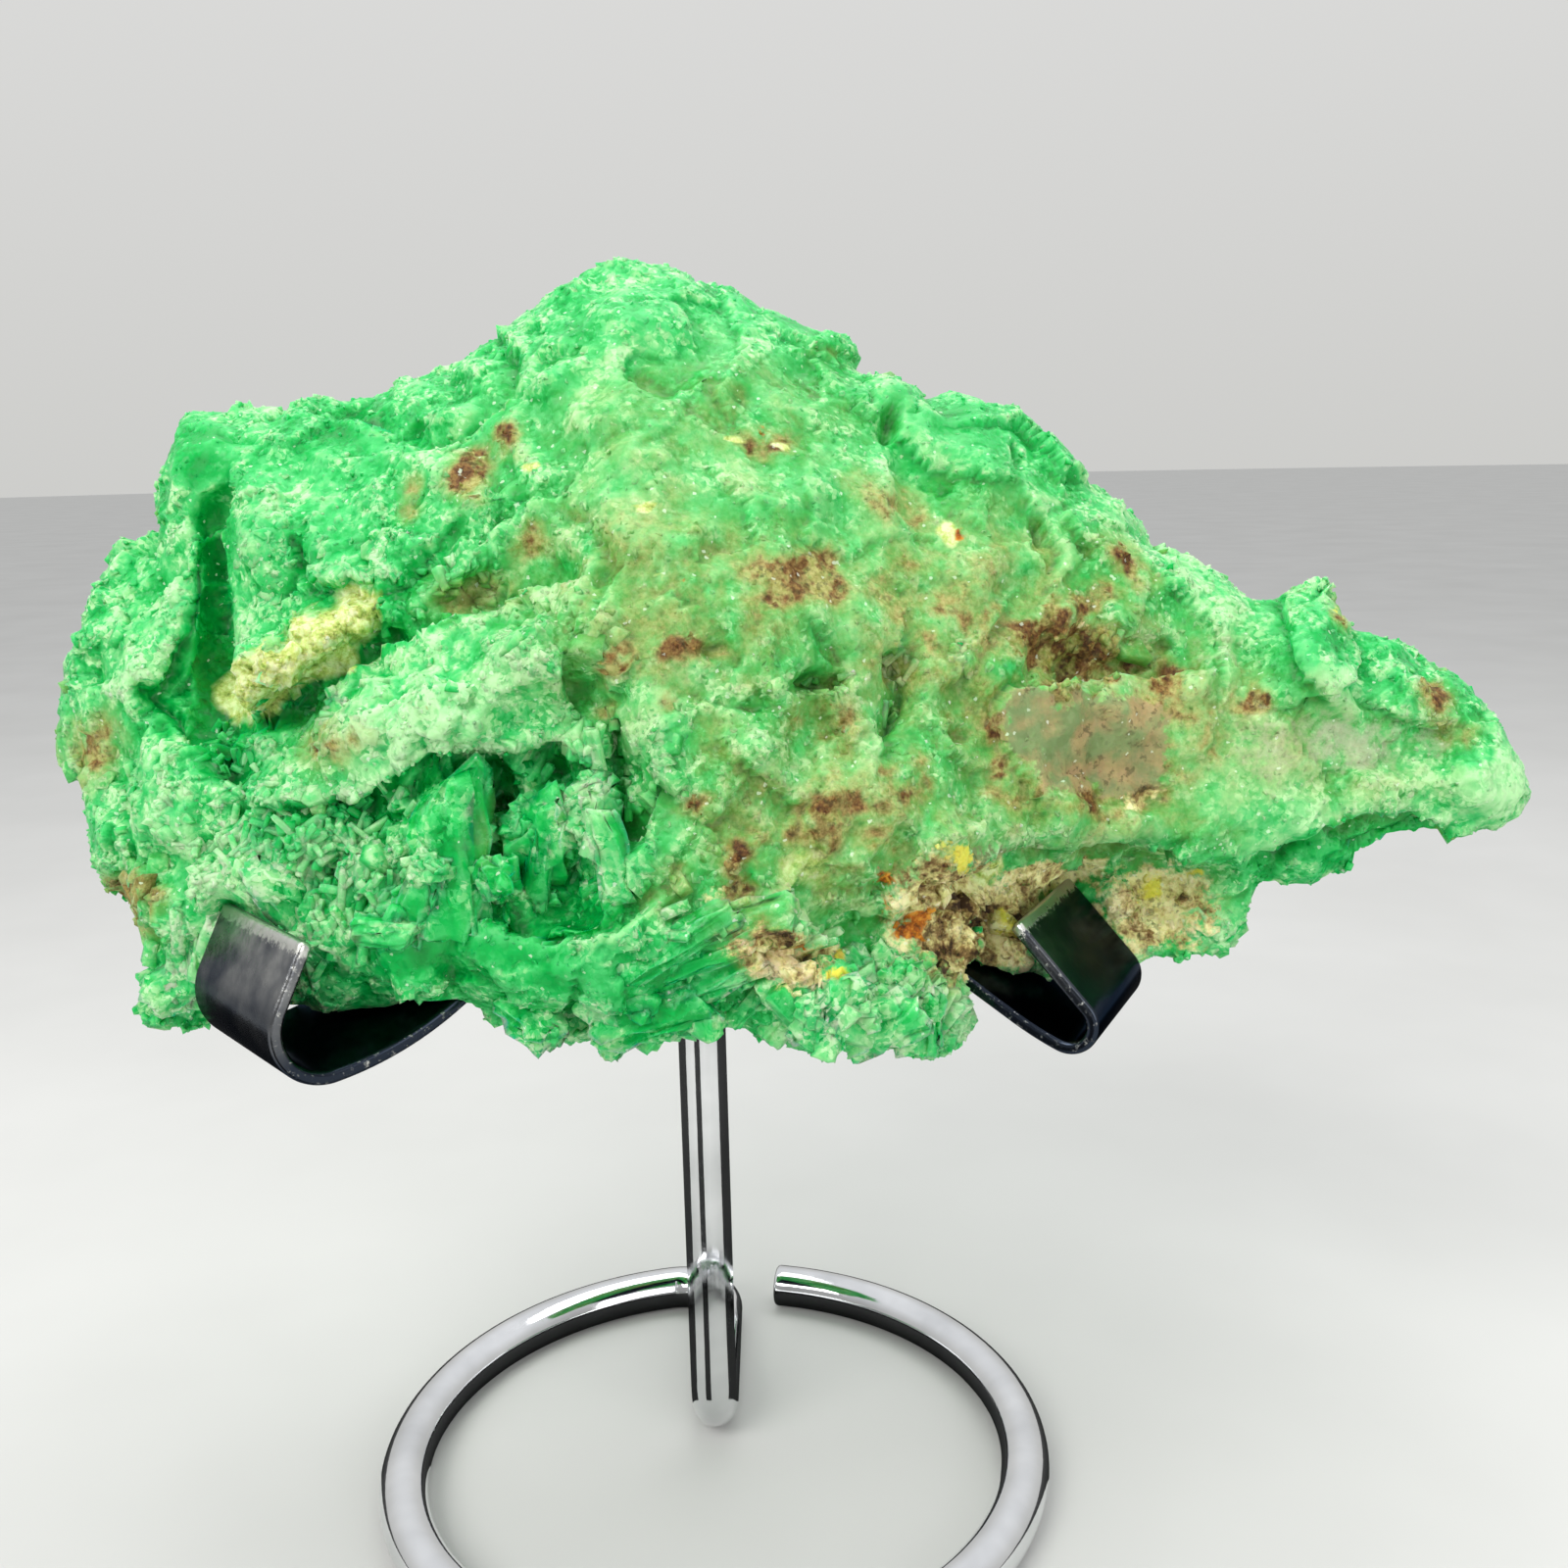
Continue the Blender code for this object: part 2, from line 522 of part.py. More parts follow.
def add_crystal(bm, surface, facing, crystal):
    """One six-sided crystal, turned in the face and tilted out of it."""
    (x, w), turn, tilt, length, radius, out = crystal
    seen_x, seen_w = np.array(x), np.array(w)
    middle = Vector(placed(seen_x, seen_w, surface(seen_x, seen_w) + facing * out))
    right = Vector((1, 0, 0))
    up = Vector((0, math.sin(LEAN), math.cos(LEAN)))
    out_of_face = facing * Vector((0, -math.cos(LEAN), math.sin(LEAN)))
    flat = math.cos(math.radians(turn)) * right + math.sin(math.radians(turn)) * up
    axis = math.cos(math.radians(tilt)) * flat + math.sin(math.radians(tilt)) * out_of_face
    across = axis.cross(out_of_face).normalized()
    thick = across.cross(axis) * CRYSTAL_FLATNESS
    place = Matrix.Translation(middle) @ Matrix((across, -thick, axis)).transposed().to_4x4()
    bmesh.ops.create_cone(bm, cap_ends=True, segments=CRYSTAL_SIDES, radius1=radius,
                          radius2=radius * CRYSTAL_TAPER, depth=length, matrix=place)


def make_crystals():
    """All crystals in one tool that is joined to the stone."""
    bm = bmesh.new()
    for crystal in CRYSTALS:
        add_crystal(bm, face_depth, 1, crystal)
    for crystal in BACK_CRYSTALS:
        add_crystal(bm, back_depth, -1, crystal)
    return as_cutter(add_object("crystals", bm))


def make_seat(claw, name):
    """Everything below and outside one claw, with a gap all round the strip."""
    profile = claw_profile(claw)
    inner = beside(profile, STRIP / 2 + GAP)
    outer = beside(profile, -STRIP / 2 - GAP)
    heading = math.radians(claw["tip_heading"])
    ahead = GAP * Vector((math.cos(heading), math.sin(heading)))
    inner_tip = Vector(inner[-1]) + ahead
    outer_tip = Vector(outer[-1]) + ahead
    far_out, far_down = 90.0, 30.0
    outline = [(0.0, inner[0][1])] + inner[:-1]
    outline += [inner_tip, outer_tip, (far_out, outer_tip.y), (far_out, far_down), (0.0, far_down)]
    return as_cutter(claw_prism(name, claw, outline, STRIP_WIDTH + 2 * GAP))


def make_emerald(finish):
    """The stone with its crystals, cut to sit clear of the cradle and the stem."""
    stone = make_stone_mass(finish)
    boolean(stone, make_crystals(), 'UNION')
    boolean(stone, make_seat(LEFT_CLAW, "left_seat"), 'DIFFERENCE')
    boolean(stone, make_seat(RIGHT_CLAW, "right_seat"), 'DIFFERENCE')
    hub_top = HUB_Z + HUB_THICKNESS / 2 + GAP
    column = as_cutter(disc("hub_seat", HUB_RADIUS + GAP, 30.0, hub_top))
    boolean(stone, column, 'DIFFERENCE')
    return stone


def centre_on_footprint(pieces):
    """Move everything so that the origin is the middle of the object's footprint."""
    bpy.context.view_layer.update()
    depsgraph = bpy.context.evaluated_depsgraph_get()
    corners = []
    for piece in pieces:
        shown = piece.evaluated_get(depsgraph)
        corners += [shown.matrix_world @ vertex.co for vertex in shown.data.vertices]
    middle_x = (min(c.x for c in corners) + max(c.x for c in corners)) / 2
    middle_y = (min(c.y for c in corners) + max(c.y for c in corners)) / 2
    for item in bpy.data.objects:
        item.location = (-middle_x, -middle_y, 0)


clear_scene()
chrome = material("bright_chrome", (0.78, 0.79, 0.8), 0.08, 1.0)
dark_steel = material("dark_nickel_strip", (0.16, 0.17, 0.19), 0.22, 1.0)
emerald = material("rough_emerald", (0.1, 0.55, 0.24), 0.45, 0.0)
centre_on_footprint([make_ring_stand(chrome), make_claw_cradle(dark_steel), make_emerald(emerald)])
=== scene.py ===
# %% [markdown]
# # A rough emerald on its claw stand
# This lesson dresses a ready model: a broken lump of emerald crystals that rests in two strip
# claws on a bent wire. The construction is fixed and comes from the frame. What is made here is
# everything that a hand or an eye meets: sugary grains, clear blades, iron stains, worn plating
# and mirror chrome. Every length is in millimetres until a mesh is stored in metres.

# %% Load the frame
import itertools
import math

import bmesh
import bpy
import numpy as np
from mathutils import Matrix, Vector
from mathutils.bvhtree import BVHTree


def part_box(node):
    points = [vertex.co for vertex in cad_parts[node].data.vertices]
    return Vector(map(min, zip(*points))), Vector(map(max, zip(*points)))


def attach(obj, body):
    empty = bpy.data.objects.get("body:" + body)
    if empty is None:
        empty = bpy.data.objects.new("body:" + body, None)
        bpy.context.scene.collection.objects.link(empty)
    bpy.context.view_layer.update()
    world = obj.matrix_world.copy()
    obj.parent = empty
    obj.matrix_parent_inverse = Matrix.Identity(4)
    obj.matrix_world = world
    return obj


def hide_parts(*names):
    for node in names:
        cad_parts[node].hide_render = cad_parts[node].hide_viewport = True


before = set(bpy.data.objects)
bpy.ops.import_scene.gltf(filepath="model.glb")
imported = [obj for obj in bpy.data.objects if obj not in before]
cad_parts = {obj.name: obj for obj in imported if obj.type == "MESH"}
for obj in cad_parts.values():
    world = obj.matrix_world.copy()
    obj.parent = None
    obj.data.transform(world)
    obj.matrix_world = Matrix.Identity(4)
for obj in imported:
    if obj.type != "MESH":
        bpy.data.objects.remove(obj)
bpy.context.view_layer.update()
MM = 0.001

# %% [markdown]
# The wire ring is the best ruler on this object, because its round shape is the same from all
# sides. All positions below are measured from the middle of that ring, on the surface that it
# stands on. Its middle is read from the box of the ring's own solid.

# %% Find the middle of the ring
WIRE = 5.0
RING_RADIUS = 33.2
ring_low, ring_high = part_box("ring_stand")
RING_MIDDLE = np.array(((ring_low.x + ring_high.x) / 2 / MM,
                        ring_low.y / MM + RING_RADIUS + WIRE / 2, 0.0))
print("middle of the ring in mm:", RING_MIDDLE.round(2))

# %% [markdown]
# The stone is read as a face seen by an eye. A place on it is x, to the right, and w, up the
# face, both in the plane of its widest outline. Depth runs out of that plane to the eye. The two
# helpers turn such a place into a point in space and a point back into such a place.

# %% Places on the stone's face
LEAN = math.radians(12.06)
EYE_DISTANCE = 146.5
FACE_MIDDLE = np.array((8.9, -8.7, 77.4))
RIGHT = np.array((1.0, 0.0, 0.0))
UP = np.array((0.0, math.sin(LEAN), math.cos(LEAN)))
TO_EYE = np.array((0.0, -math.cos(LEAN), math.sin(LEAN)))
EYE = FACE_MIDDLE + EYE_DISTANCE * TO_EYE


def placed(x, w, depth):
    """A place on the face, as seen, put into space."""
    near = 1 - depth / EYE_DISTANCE
    return FACE_MIDDLE + (x - FACE_MIDDLE[0]) * near * RIGHT + w * near * UP + depth * TO_EYE


def as_seen(points):
    """Points in space turned into x and w, as the eye sees them."""
    away = points - FACE_MIDDLE
    near = 1 - away @ TO_EYE / EYE_DISTANCE
    return FACE_MIDDLE[0] + away @ RIGHT / near, away @ UP / near


print("the eye is", round(float(np.linalg.norm(EYE - FACE_MIDDLE)), 1), "mm from the stone")

# %% [markdown]
# Two kinds of noise shape the stone. The first is a cloud, soft and slow to change from one
# value to the next, and it breaks up stains and colours. Both are written with whole arrays, so
# that a hundred thousand points take a moment.

# %% A soft cloud of noise
NOISE_GRID = 32


def cloud(points, size, seed):
    """Soft noise from -1 to 1, with lumps of the given size."""
    grid = np.random.RandomState(seed).uniform(-1, 1, (NOISE_GRID,) * 3)
    place = points / size + 3 * NOISE_GRID
    home = np.floor(place).astype(int)
    share = place - home
    share = share * share * (3 - 2 * share)
    total = np.zeros(len(points))
    for step in itertools.product((0, 1), repeat=3):
        weight = np.prod(np.where(step, share, 1 - share), axis=1)
        total += weight * grid[tuple(((home + step) % NOISE_GRID).T)]
    return total


print("clouds at two places:", cloud(np.array(((0.0, 0.0, 0.0), (5.0, 0.0, 0.0))), 3.0, 44).round(2))

# %% [markdown]
# The second kind is hard. Every point belongs to the nearest of many scattered middles and
# takes that middle's own tilt, which is how a crystalline mass breaks. Each plate also gets a
# random tone, so that its colour can differ a little from its neighbours'.

# %% Hard tilted plates
def plates(points, size, tilt, rise, seed):
    """Height of hard tilted plates of the given size, and one random tone for each plate."""
    draw = np.random.RandomState(seed)
    jitter = draw.uniform(0, 1, (NOISE_GRID,) * 3 + (3,))
    tilts = draw.uniform(-tilt, tilt, jitter.shape)
    rises = draw.uniform(-rise, rise, (NOISE_GRID,) * 3)
    tones = draw.uniform(-1, 1, rises.shape)
    place = points / size + 3 * NOISE_GRID
    home = np.floor(place).astype(int)
    best = np.full(len(points), np.inf)
    height = np.zeros(len(points))
    tone = np.zeros(len(points))
    for step in itertools.product((-1, 0, 1), repeat=3):
        cell = home + step
        key = tuple((cell % NOISE_GRID).T)
        offset = place - cell - jitter[key]
        distance = (offset ** 2).sum(axis=1)
        nearer = distance < best
        best[nearer] = distance[nearer]
        height[nearer] = (rises[key] + size * (tilts[key] * offset).sum(axis=1))[nearer]
        tone[nearer] = tones[key][nearer]
    return height, tone


print("noise repeats after", NOISE_GRID, "lumps")

# %% [markdown]
# Most of the marks on the stone are patches: a stain, a hollow, a pale bulge. One patch is its
# middle, its two half-widths, its turn in degrees and its strength. Where patches overlap, the
# strongest one counts, so that two of them don't add up to a bright spot.

# %% Patches on the face
def patch(x, w, middle, radii, turn, strength, hard=2):
    """Strength of one patch at the places (x, w), fading out at its edge."""
    angle = math.radians(turn)
    along = (x - middle[0]) * math.cos(angle) + (w - middle[1]) * math.sin(angle)
    over = (w - middle[1]) * math.cos(angle) - (x - middle[0]) * math.sin(angle)
    return strength * np.exp(-np.hypot(along / radii[0], over / radii[1]) ** hard)


def patches(x, w, marks, hard=2):
    """The strongest of several patches at each place."""
    total = np.zeros(np.shape(x))
    for mark in marks:
        value = patch(x, w, *mark, hard)
        total = np.where(np.abs(value) > np.abs(total), value, total)
    return total


print("strength half-way out of a patch:", round(float(patch(0.5, 0.0, (0, 0), (1, 1), 0, 1.0)), 2))

# %% [markdown]
# Cracks and steps are drawn as lines from point to point. What counts is how far a place lies
# from the line, and for a step also on which side. A soft step turns a distance into a share
# without a hard edge.

# %% Lines and soft steps
def signed_distance(x, w, line):
    """Distance from a bent line, positive on the left of its direction."""
    best = np.full(np.shape(x), np.inf)
    side = np.ones(np.shape(x))
    for (ax, aw), (bx, bw) in zip(line, line[1:]):
        run = (bx - ax) ** 2 + (bw - aw) ** 2
        share = np.clip(((x - ax) * (bx - ax) + (w - aw) * (bw - aw)) / run, 0, 1)
        away = np.hypot(x - ax - share * (bx - ax), w - aw - share * (bw - aw))
        nearer = away < best
        best = np.where(nearer, away, best)
        turned = (bx - ax) * (w - aw) - (bw - aw) * (x - ax)
        side = np.where(nearer, np.where(turned < 0, -1, 1), side)
    return best * side


def smooth_step(value, low, high):
    """0 below low, 1 above high, and soft between."""
    share = np.clip((value - low) / (high - low), 0, 1)
    return share * share * (3 - 2 * share)


print("a soft step at a quarter of its width:", round(float(smooth_step(0.25, 0, 1)), 2))

# %% [markdown]
# These are the hollows and cracks on the face, listed one by one: the long crevice on the left, the open
# cavity among the blades, slits, and black pits in the gritty band. Each sinks the skin a little more than
# the solid does, with a steeper wall.

# %% Hollows and cracks
HOLLOWS = (
    ((-43.3, 3.4), (2.9, 2.1), 20, 2.6),
    ((-36.8, 8.1), (3.4, 1.4), 25, 2.4),
    ((-27.4, 14.7), (1.0, 0.8), 0, 1.8),
    ((-21.0, 18.4), (3.4, 1.7), 20, 2.4),
    ((-24.1, 33.3), (4.4, 1.3), 4, 1.4),
    ((-10.4, 9.6), (1.2, 2.7), 8, 2.0),
    ((-5.9, -3.4), (1.2, 2.3), 5, 2.6),
    ((-17.9, -1.2), (1.3, 1.3), 0, 2.4),
    ((-13.0, 1.3), (1.9, 2.2), 0, 2.6),
    ((-15.8, -7.8), (1.3, 1.7), 0, 2.2),
    ((12.7, 9.7), (1.9, 1.0), 10, 3.4),
    ((19.5, 33.7), (0.9, 1.6), -10, 2.4),
    ((33.4, 23.5), (0.6, 1.7), 25, 2.2),
    ((37.6, 21.4), (0.5, 1.2), 35, 1.4),
    ((-8.0, 20.2), (1.2, 0.8), 20, 1.2),
    ((-15.6, 27.4), (1.1, 0.8), 0, 1.2),
    ((2.4, 12.8), (1.3, 0.7), 10, 1.2),
    ((25.4, 4.4), (1.3, 0.8), -20, 1.3),
    ((10.4, -2.6), (1.2, 0.8), 30, 1.3),
    ((35.9, 10.6), (1.6, 0.9), 0, 2.4),
    ((42.2, 10.8), (1.5, 0.9), 0, 2.4),
    ((44.6, 12.2), (1.1, 0.8), 20, 1.8),
    ((31.8, -0.4), (0.8, 0.4), 0, 1.4),
    ((31.0, 0.8), (1.6, 1.8), 20, 0.9),
    ((43.4, -2.2), (1.6, 1.2), 0, 0.9),
    ((5.2, 31.0), (3.6, 2.0), -8, 0.5),
    ((65.0, -7.4), (7.0, 1.6), 6, 1.4),
    ((8.5, -17.2), (4.4, 2.6), -12, 1.8),
)
CRACKS = (
    (((-42.8, 26.3), (-43.0, 14.9), (-42.0, 3.9)), 0.9, 2.4),
    (((-51.0, 10.1), (-48.4, 8.4), (-45.7, 6.2)), 0.7, 2.2),
    (((-36.6, 23.9), (-35.1, 19.8)), 0.45, 1.6),
    (((-24.0, 22.5), (-26.1, 19.9)), 0.5, 1.8),
    (((-7.0, 5.8), (-6.2, -1.1)), 0.45, 2.2),
    (((19.4, 11.5), (19.6, 8.4), (18.6, 5.0)), 0.7, 3.2),
    (((31.4, 31.6), (31.8, 29.3)), 0.3, 1.1),
    (((24.6, -9.2), (28.4, -8.0), (34.0, -6.6), (40.0, -7.0)), 0.5, 1.2),
    (((0.4, 8.8), (6.0, 7.0), (10.6, 8.0)), 0.3, 0.7),
    (((-31.0, -3.4), (-24.0, -1.6), (-19.6, -2.2)), 0.5, 1.2),
)
print(len(HOLLOWS), "hollows and", len(CRACKS), "cracks")

# %% [markdown]
# Other marks stand out: the row of knobs under the cream crust, the crests of the block and the
# dome, and the rim of the cavity.

# %% Lumps and ridges
RISES = (
    ((-41.0, 9.9), (2.3, 1.9), 10, 1.7),
    ((-37.9, 12.6), (2.4, 1.8), 30, 1.8),
    ((-34.3, 14.6), (2.6, 1.8), 25, 1.6),
    ((-30.9, 17.1), (1.9, 1.7), 30, 1.2),
    ((-22.6, 34.9), (5.6, 0.9), 10, 1.0),
    ((-12.0, 38.4), (5.6, 1.0), 28, 1.1),
    ((-3.0, 6.8), (1.4, 4.0), 5, 0.8),
    ((23.6, -5.6), (5.0, 1.2), 22, 0.9),
    ((33.0, -5.0), (7.0, 1.2), -3, 0.9),
    ((24.6, 10.0), (3.6, 3.0), 10, 0.9),
    ((61.0, 8.0), (3.0, 1.6), -30, 0.8),
    ((20.0, 35.6), (3.4, 2.0), -10, 0.5),
    ((30.0, 27.4), (3.6, 1.6), -45, 0.8),
)
print(len(RISES), "lumps")

# %% [markdown]
# A broken crystal mass has steps, where one layer has come off and the next lies bare. A step is
# a bent line with a height. The side on the left of the line's direction stands out with a
# sharp, bruised edge, and the other side drops and then fades back into the face.

# %% Steps of the face
CLIFFS = (
    (((-42.6, 26.3), (-42.9, 14.9), (-41.9, 3.9)), 2.2),
    (((-12.7, 18.8), (-21.0, 16.2), (-27.5, 13.2), (-33.5, 10.1), (-36.8, 7.0), (-40.0, 5.6)), 1.9),
    (((-38.7, -0.9), (-31.6, -0.5), (-23.6, 3.7), (-18.9, 2.8), (-13.0, 3.9), (-9.6, 3.2)), 2.2),
    (((-17.0, 34.9), (-20.5, 32.5), (-24.3, 32.3), (-28.4, 33.9)), 1.5),
    (((-34.7, 19.6), (-31.5, 20.3), (-26.9, 19.4), (-24.4, 22.0)), 1.6),
    (((-49.6, 10.4), (-46.7, 15.9), (-45.7, 21.4), (-45.1, 25.0)), 1.4),
    (((18.6, 4.9), (19.8, 8.9), (20.0, 11.5)), 1.6),
    (((25.1, 9.5), (26.5, 10.2), (27.5, 12.4), (28.5, 14.2)), 1.2),
    (((45.6, 9.3), (42.5, 8.7), (40.2, 9.4), (35.2, 8.7), (30.6, 8.4), (29.0, 6.4)), 1.4),
    (((29.0, 6.4), (29.4, 3.5), (31.6, -0.4)), 1.4),
    (((54.5, -6.9), (62.4, -3.7), (67.4, -4.0), (71.5, -6.1)), 2.0),
    (((56.2, 16.2), (56.9, 10.0), (59.0, 7.6)), 1.3),
    (((-4.3, -11.2), (-7.9, -13.4), (-13.4, -14.2), (-20.7, -11.7), (-29.9, -12.4)), 1.3),
    (((-31.0, -3.6), (-31.4, -8.0), (-29.6, -11.6)), 0.9),
    (((-18.2, 44.0), (-14.6, 40.6), (-15.6, 37.0)), 0.9),
    (((4.4, 45.6), (6.0, 41.2), (3.2, 37.0), (4.8, 34.6)), 0.4),
    (((20.4, 32.8), (23.0, 29.6), (28.6, 28.2)), 0.8),
    (((-8.6, 24.4), (-6.0, 20.8), (-8.4, 16.6)), 0.7),
    (((33.0, 24.6), (35.4, 21.0), (34.0, 18.0)), 0.8),
    (((12.8, 14.6), (15.0, 11.6), (13.0, 8.4), (14.8, 4.6)), 0.9),
    (((46.6, 16.8), (49.8, 13.4), (50.0, 9.0)), 0.7),
    (((6.0, 1.4), (9.6, -1.0), (12.0, -5.6)), 0.9),
    (((63.4, 7.6), (66.0, 4.8), (70.4, 4.0)), 0.7),
)
print(len(CLIFFS), "steps, up to", max(height for _, height in CLIFFS), "mm high")

# %% [markdown]
# The sign of the distance tells on which side of the line a place lies. Near the line the upper
# side is lifted a little and the lower side drops by the whole height, and both fade with the
# distance. Where marks overlap, the deepest one counts.

# %% How a step lifts and drops the skin
CLIFF_REACH = 2.6
LIFTED_SHARE = 0.35


def cliffs(x, w):
    """Rise above and drop below all cliff lines, as two arrays."""
    rise, drop = np.zeros(np.shape(x)), np.zeros(np.shape(x))
    for line, height in CLIFFS:
        away = signed_distance(x, w, line)
        fade = height * np.exp(-(np.abs(away) / CLIFF_REACH) ** 1.5)
        rise = np.maximum(rise, np.where(away > 0, LIFTED_SHARE * fade, 0))
        drop = np.maximum(drop, np.where(away <= 0, fade, 0))
    return rise, drop


def sunk(x, w):
    """How far the marks on the face sink the skin."""
    depth = patches(x, w, HOLLOWS, 4)
    for line, half_width, deep in CRACKS:
        depth = np.maximum(depth, deep * np.exp(-(signed_distance(x, w, line) / half_width) ** 2))
    return np.maximum(depth, cliffs(x, w)[1])


print("a step has faded out", 2 * CLIFF_REACH, "mm from its line")

# %% [markdown]
# The stone doesn't break in the same way everywhere. Waxy stretches are almost smooth, the lower
# left is a coarse heap of chips and blades, and the rest is sugary. The share of relief at each
# place comes from two lists of patches, and the back is sugary all over.

# %% Where the stone is waxy and where it is coarse
WAXY = (
    ((-45.2, 32.3), (3.0, 4.2), 0, 0.8),
    ((24.0, 32.5), (8.0, 4.4), -20, 0.75),
    ((75.0, -1.8), (5.0, 4.0), 0, 0.8),
    ((32.4, 5.2), (3.8, 3.8), 0, 0.85),
    ((41.0, 3.6), (6.0, 5.6), 0, 0.7),
    ((46.0, -3.4), (14.0, 4.0), -4, 0.7),
    ((31.0, 21.0), (9.0, 7.0), -35, 0.6),
    ((26.0, 10.0), (9.0, 8.0), 0, 0.45),
    ((3.0, 22.0), (14.0, 12.0), 0, 0.4),
    ((57.6, 11.0), (3.6, 5.0), 8, 0.55),
    ((-44.6, 16.0), (1.6, 9.0), -5, 0.8),
    ((-30.5, 33.0), (5.5, 2.6), 10, 0.5),
    ((-18.0, -15.8), (12.0, 3.6), -8, 0.75),
    ((-47.0, 9.0), (3.4, 5.0), -20, 0.6),
    ((14.0, -2.0), (12.0, 6.0), 0, 0.4),
    ((20.0, 20.0), (22.0, 12.0), -10, 0.5),
    ((46.0, 4.0), (16.0, 9.0), -10, 0.55),
    ((-2.0, 37.0), (18.0, 12.0), 0, 0.52),
    ((37.0, 4.0), (8.0, 4.6), 0, 0.75),
)
COARSE = (
    ((-16.0, -4.0), (15.0, 9.0), 0, 0.7),
    ((-36.0, 13.4), (7.0, 3.0), 30, 1.0),
    ((-40.0, -8.0), (12.0, 10.0), 0, 0.7),
    ((6.0, -17.0), (12.0, 5.0), 0, 0.8),
    ((18.0, -20.0), (9.0, 5.0), 0, 0.9),
    ((27.0, -13.0), (7.0, 5.0), 0, 1.0),
    ((43.0, -12.0), (6.0, 4.0), 0, 1.0),
    ((38.0, 12.0), (7.0, 3.4), 0, 1.0),
    ((-32.0, 20.0), (8.0, 6.0), 0, 0.5),
    ((-14.0, 14.0), (8.0, 5.0), 0, 0.4),
)
BACK_RELIEF = 1.15


def relief_share(x, w, front):
    """How strong the broken relief is: about 0.2 where waxy, 1 where sugary, 1.6 where coarse."""
    share = 1 - patches(x, w, WAXY) + 0.6 * patches(x, w, COARSE)
    return front * np.clip(share, 0.2, 1.6) + (1 - front) * BACK_RELIEF


print(len(WAXY), "waxy and", len(COARSE), "coarse patches")

# %% [markdown]
# Meshes are made from plain arrays here: rows of points, and rows of corner numbers. That is
# quick, and it keeps the shapes in millimetres. One helper turns such arrays into an object.

# %% Arrays into meshes
def store(name, points, faces, finish=None, flat=True):
    """Make an object from points and triangles in millimetres, measured from the ring's middle."""
    a, b, c = (points[faces[:, k]] for k in range(3))
    if np.einsum("ij,ij->", a, np.cross(b, c)) < 0:
        faces = faces[:, ::-1]
    mesh = bpy.data.meshes.new(name)
    mesh.vertices.add(len(points))
    mesh.vertices.foreach_set("co", ((points + RING_MIDDLE) * MM).astype(np.float32).ravel())
    sides = faces.shape[1]
    mesh.loops.add(faces.size)
    mesh.loops.foreach_set("vertex_index", faces.ravel().astype(np.int32))
    mesh.polygons.add(len(faces))
    mesh.polygons.foreach_set("loop_start", np.arange(0, faces.size, sides, dtype=np.int32))
    mesh.update(calc_edges=True)
    mesh.validate()
    if not flat:
        mesh.shade_smooth()
    if finish is not None:
        mesh.materials.append(finish)
    made = bpy.data.objects.new(name, mesh)
    bpy.context.scene.collection.objects.link(made)
    return made


print("one millimetre is", MM, "scene units")

# %% [markdown]
# A crystal, a wire and a strip are all rings of points that follow each other. The triangles
# between the rings are the same for any section, and a fan round a middle point closes each end.

# %% Join rings of points
def tube_faces(ring_count, sides):
    """Triangles through rings of points and to the two end middles that follow them."""
    faces = []
    for ring in range(ring_count - 1):
        for index in range(sides):
            after = (index + 1) % sides
            near, far = ring * sides, (ring + 1) * sides
            faces += [(near + index, near + after, far + after), (near + index, far + after, far + index)]
    last, middles = (ring_count - 1) * sides, ring_count * sides
    for index in range(sides):
        after = (index + 1) % sides
        faces += [(after, index, middles), (last + index, last + after, middles + 1)]
    return np.array(faces)


print("a six-sided tube of two rings has", len(tube_faces(2, 6)), "triangles")

# %% [markdown]
# The way back: points and triangles are read from a mesh, normals and areas are worked out for
# all of them at once, and a search tree answers where a ray hits and how far the nearest place
# is.

# %% Meshes into arrays
def read_points(mesh):
    """The points of a mesh in millimetres from the ring's middle."""
    flat = np.empty(len(mesh.vertices) * 3, dtype=np.float32)
    mesh.vertices.foreach_get("co", flat)
    return flat.reshape(-1, 3).astype(float) / MM - RING_MIDDLE


def read_triangles(mesh):
    """The triangles of a mesh as rows of three point numbers."""
    mesh.calc_loop_triangles()
    flat = np.empty(len(mesh.loop_triangles) * 3, dtype=np.int32)
    mesh.loop_triangles.foreach_get("vertices", flat)
    return flat.reshape(-1, 3)


def normals_of(points, triangles):
    """Normals of the triangles with their areas, and normals of the points."""
    a, b, c = (points[triangles[:, k]] for k in range(3))
    cross = np.cross(b - a, c - a)
    at_points = np.zeros_like(points)
    for k in range(3):
        np.add.at(at_points, triangles[:, k], cross)
    area = np.linalg.norm(cross, axis=1) / 2
    at_points /= np.maximum(np.linalg.norm(at_points, axis=1), 1e-9)[:, None]
    return cross / np.maximum(2 * area, 1e-9)[:, None], area, at_points


def tree_of(points, triangles):
    """A search tree for rays and nearest points."""
    return BVHTree.FromPolygons([tuple(p) for p in points], [tuple(t) for t in triangles])


cradle_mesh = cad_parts["claw_cradle"].data
metal_tree = tree_of(read_points(cradle_mesh), read_triangles(cradle_mesh))
print("the claws' solid has", len(read_triangles(cradle_mesh)), "triangles")

# %% [markdown]
# The skin starts as a copy of the stone's own solid. A voxel remesh lays an even grid over it,
# fine enough to carry chips of two millimetres, and every point is then moved along its normal
# by the plates and hollows. The solid itself is never touched.

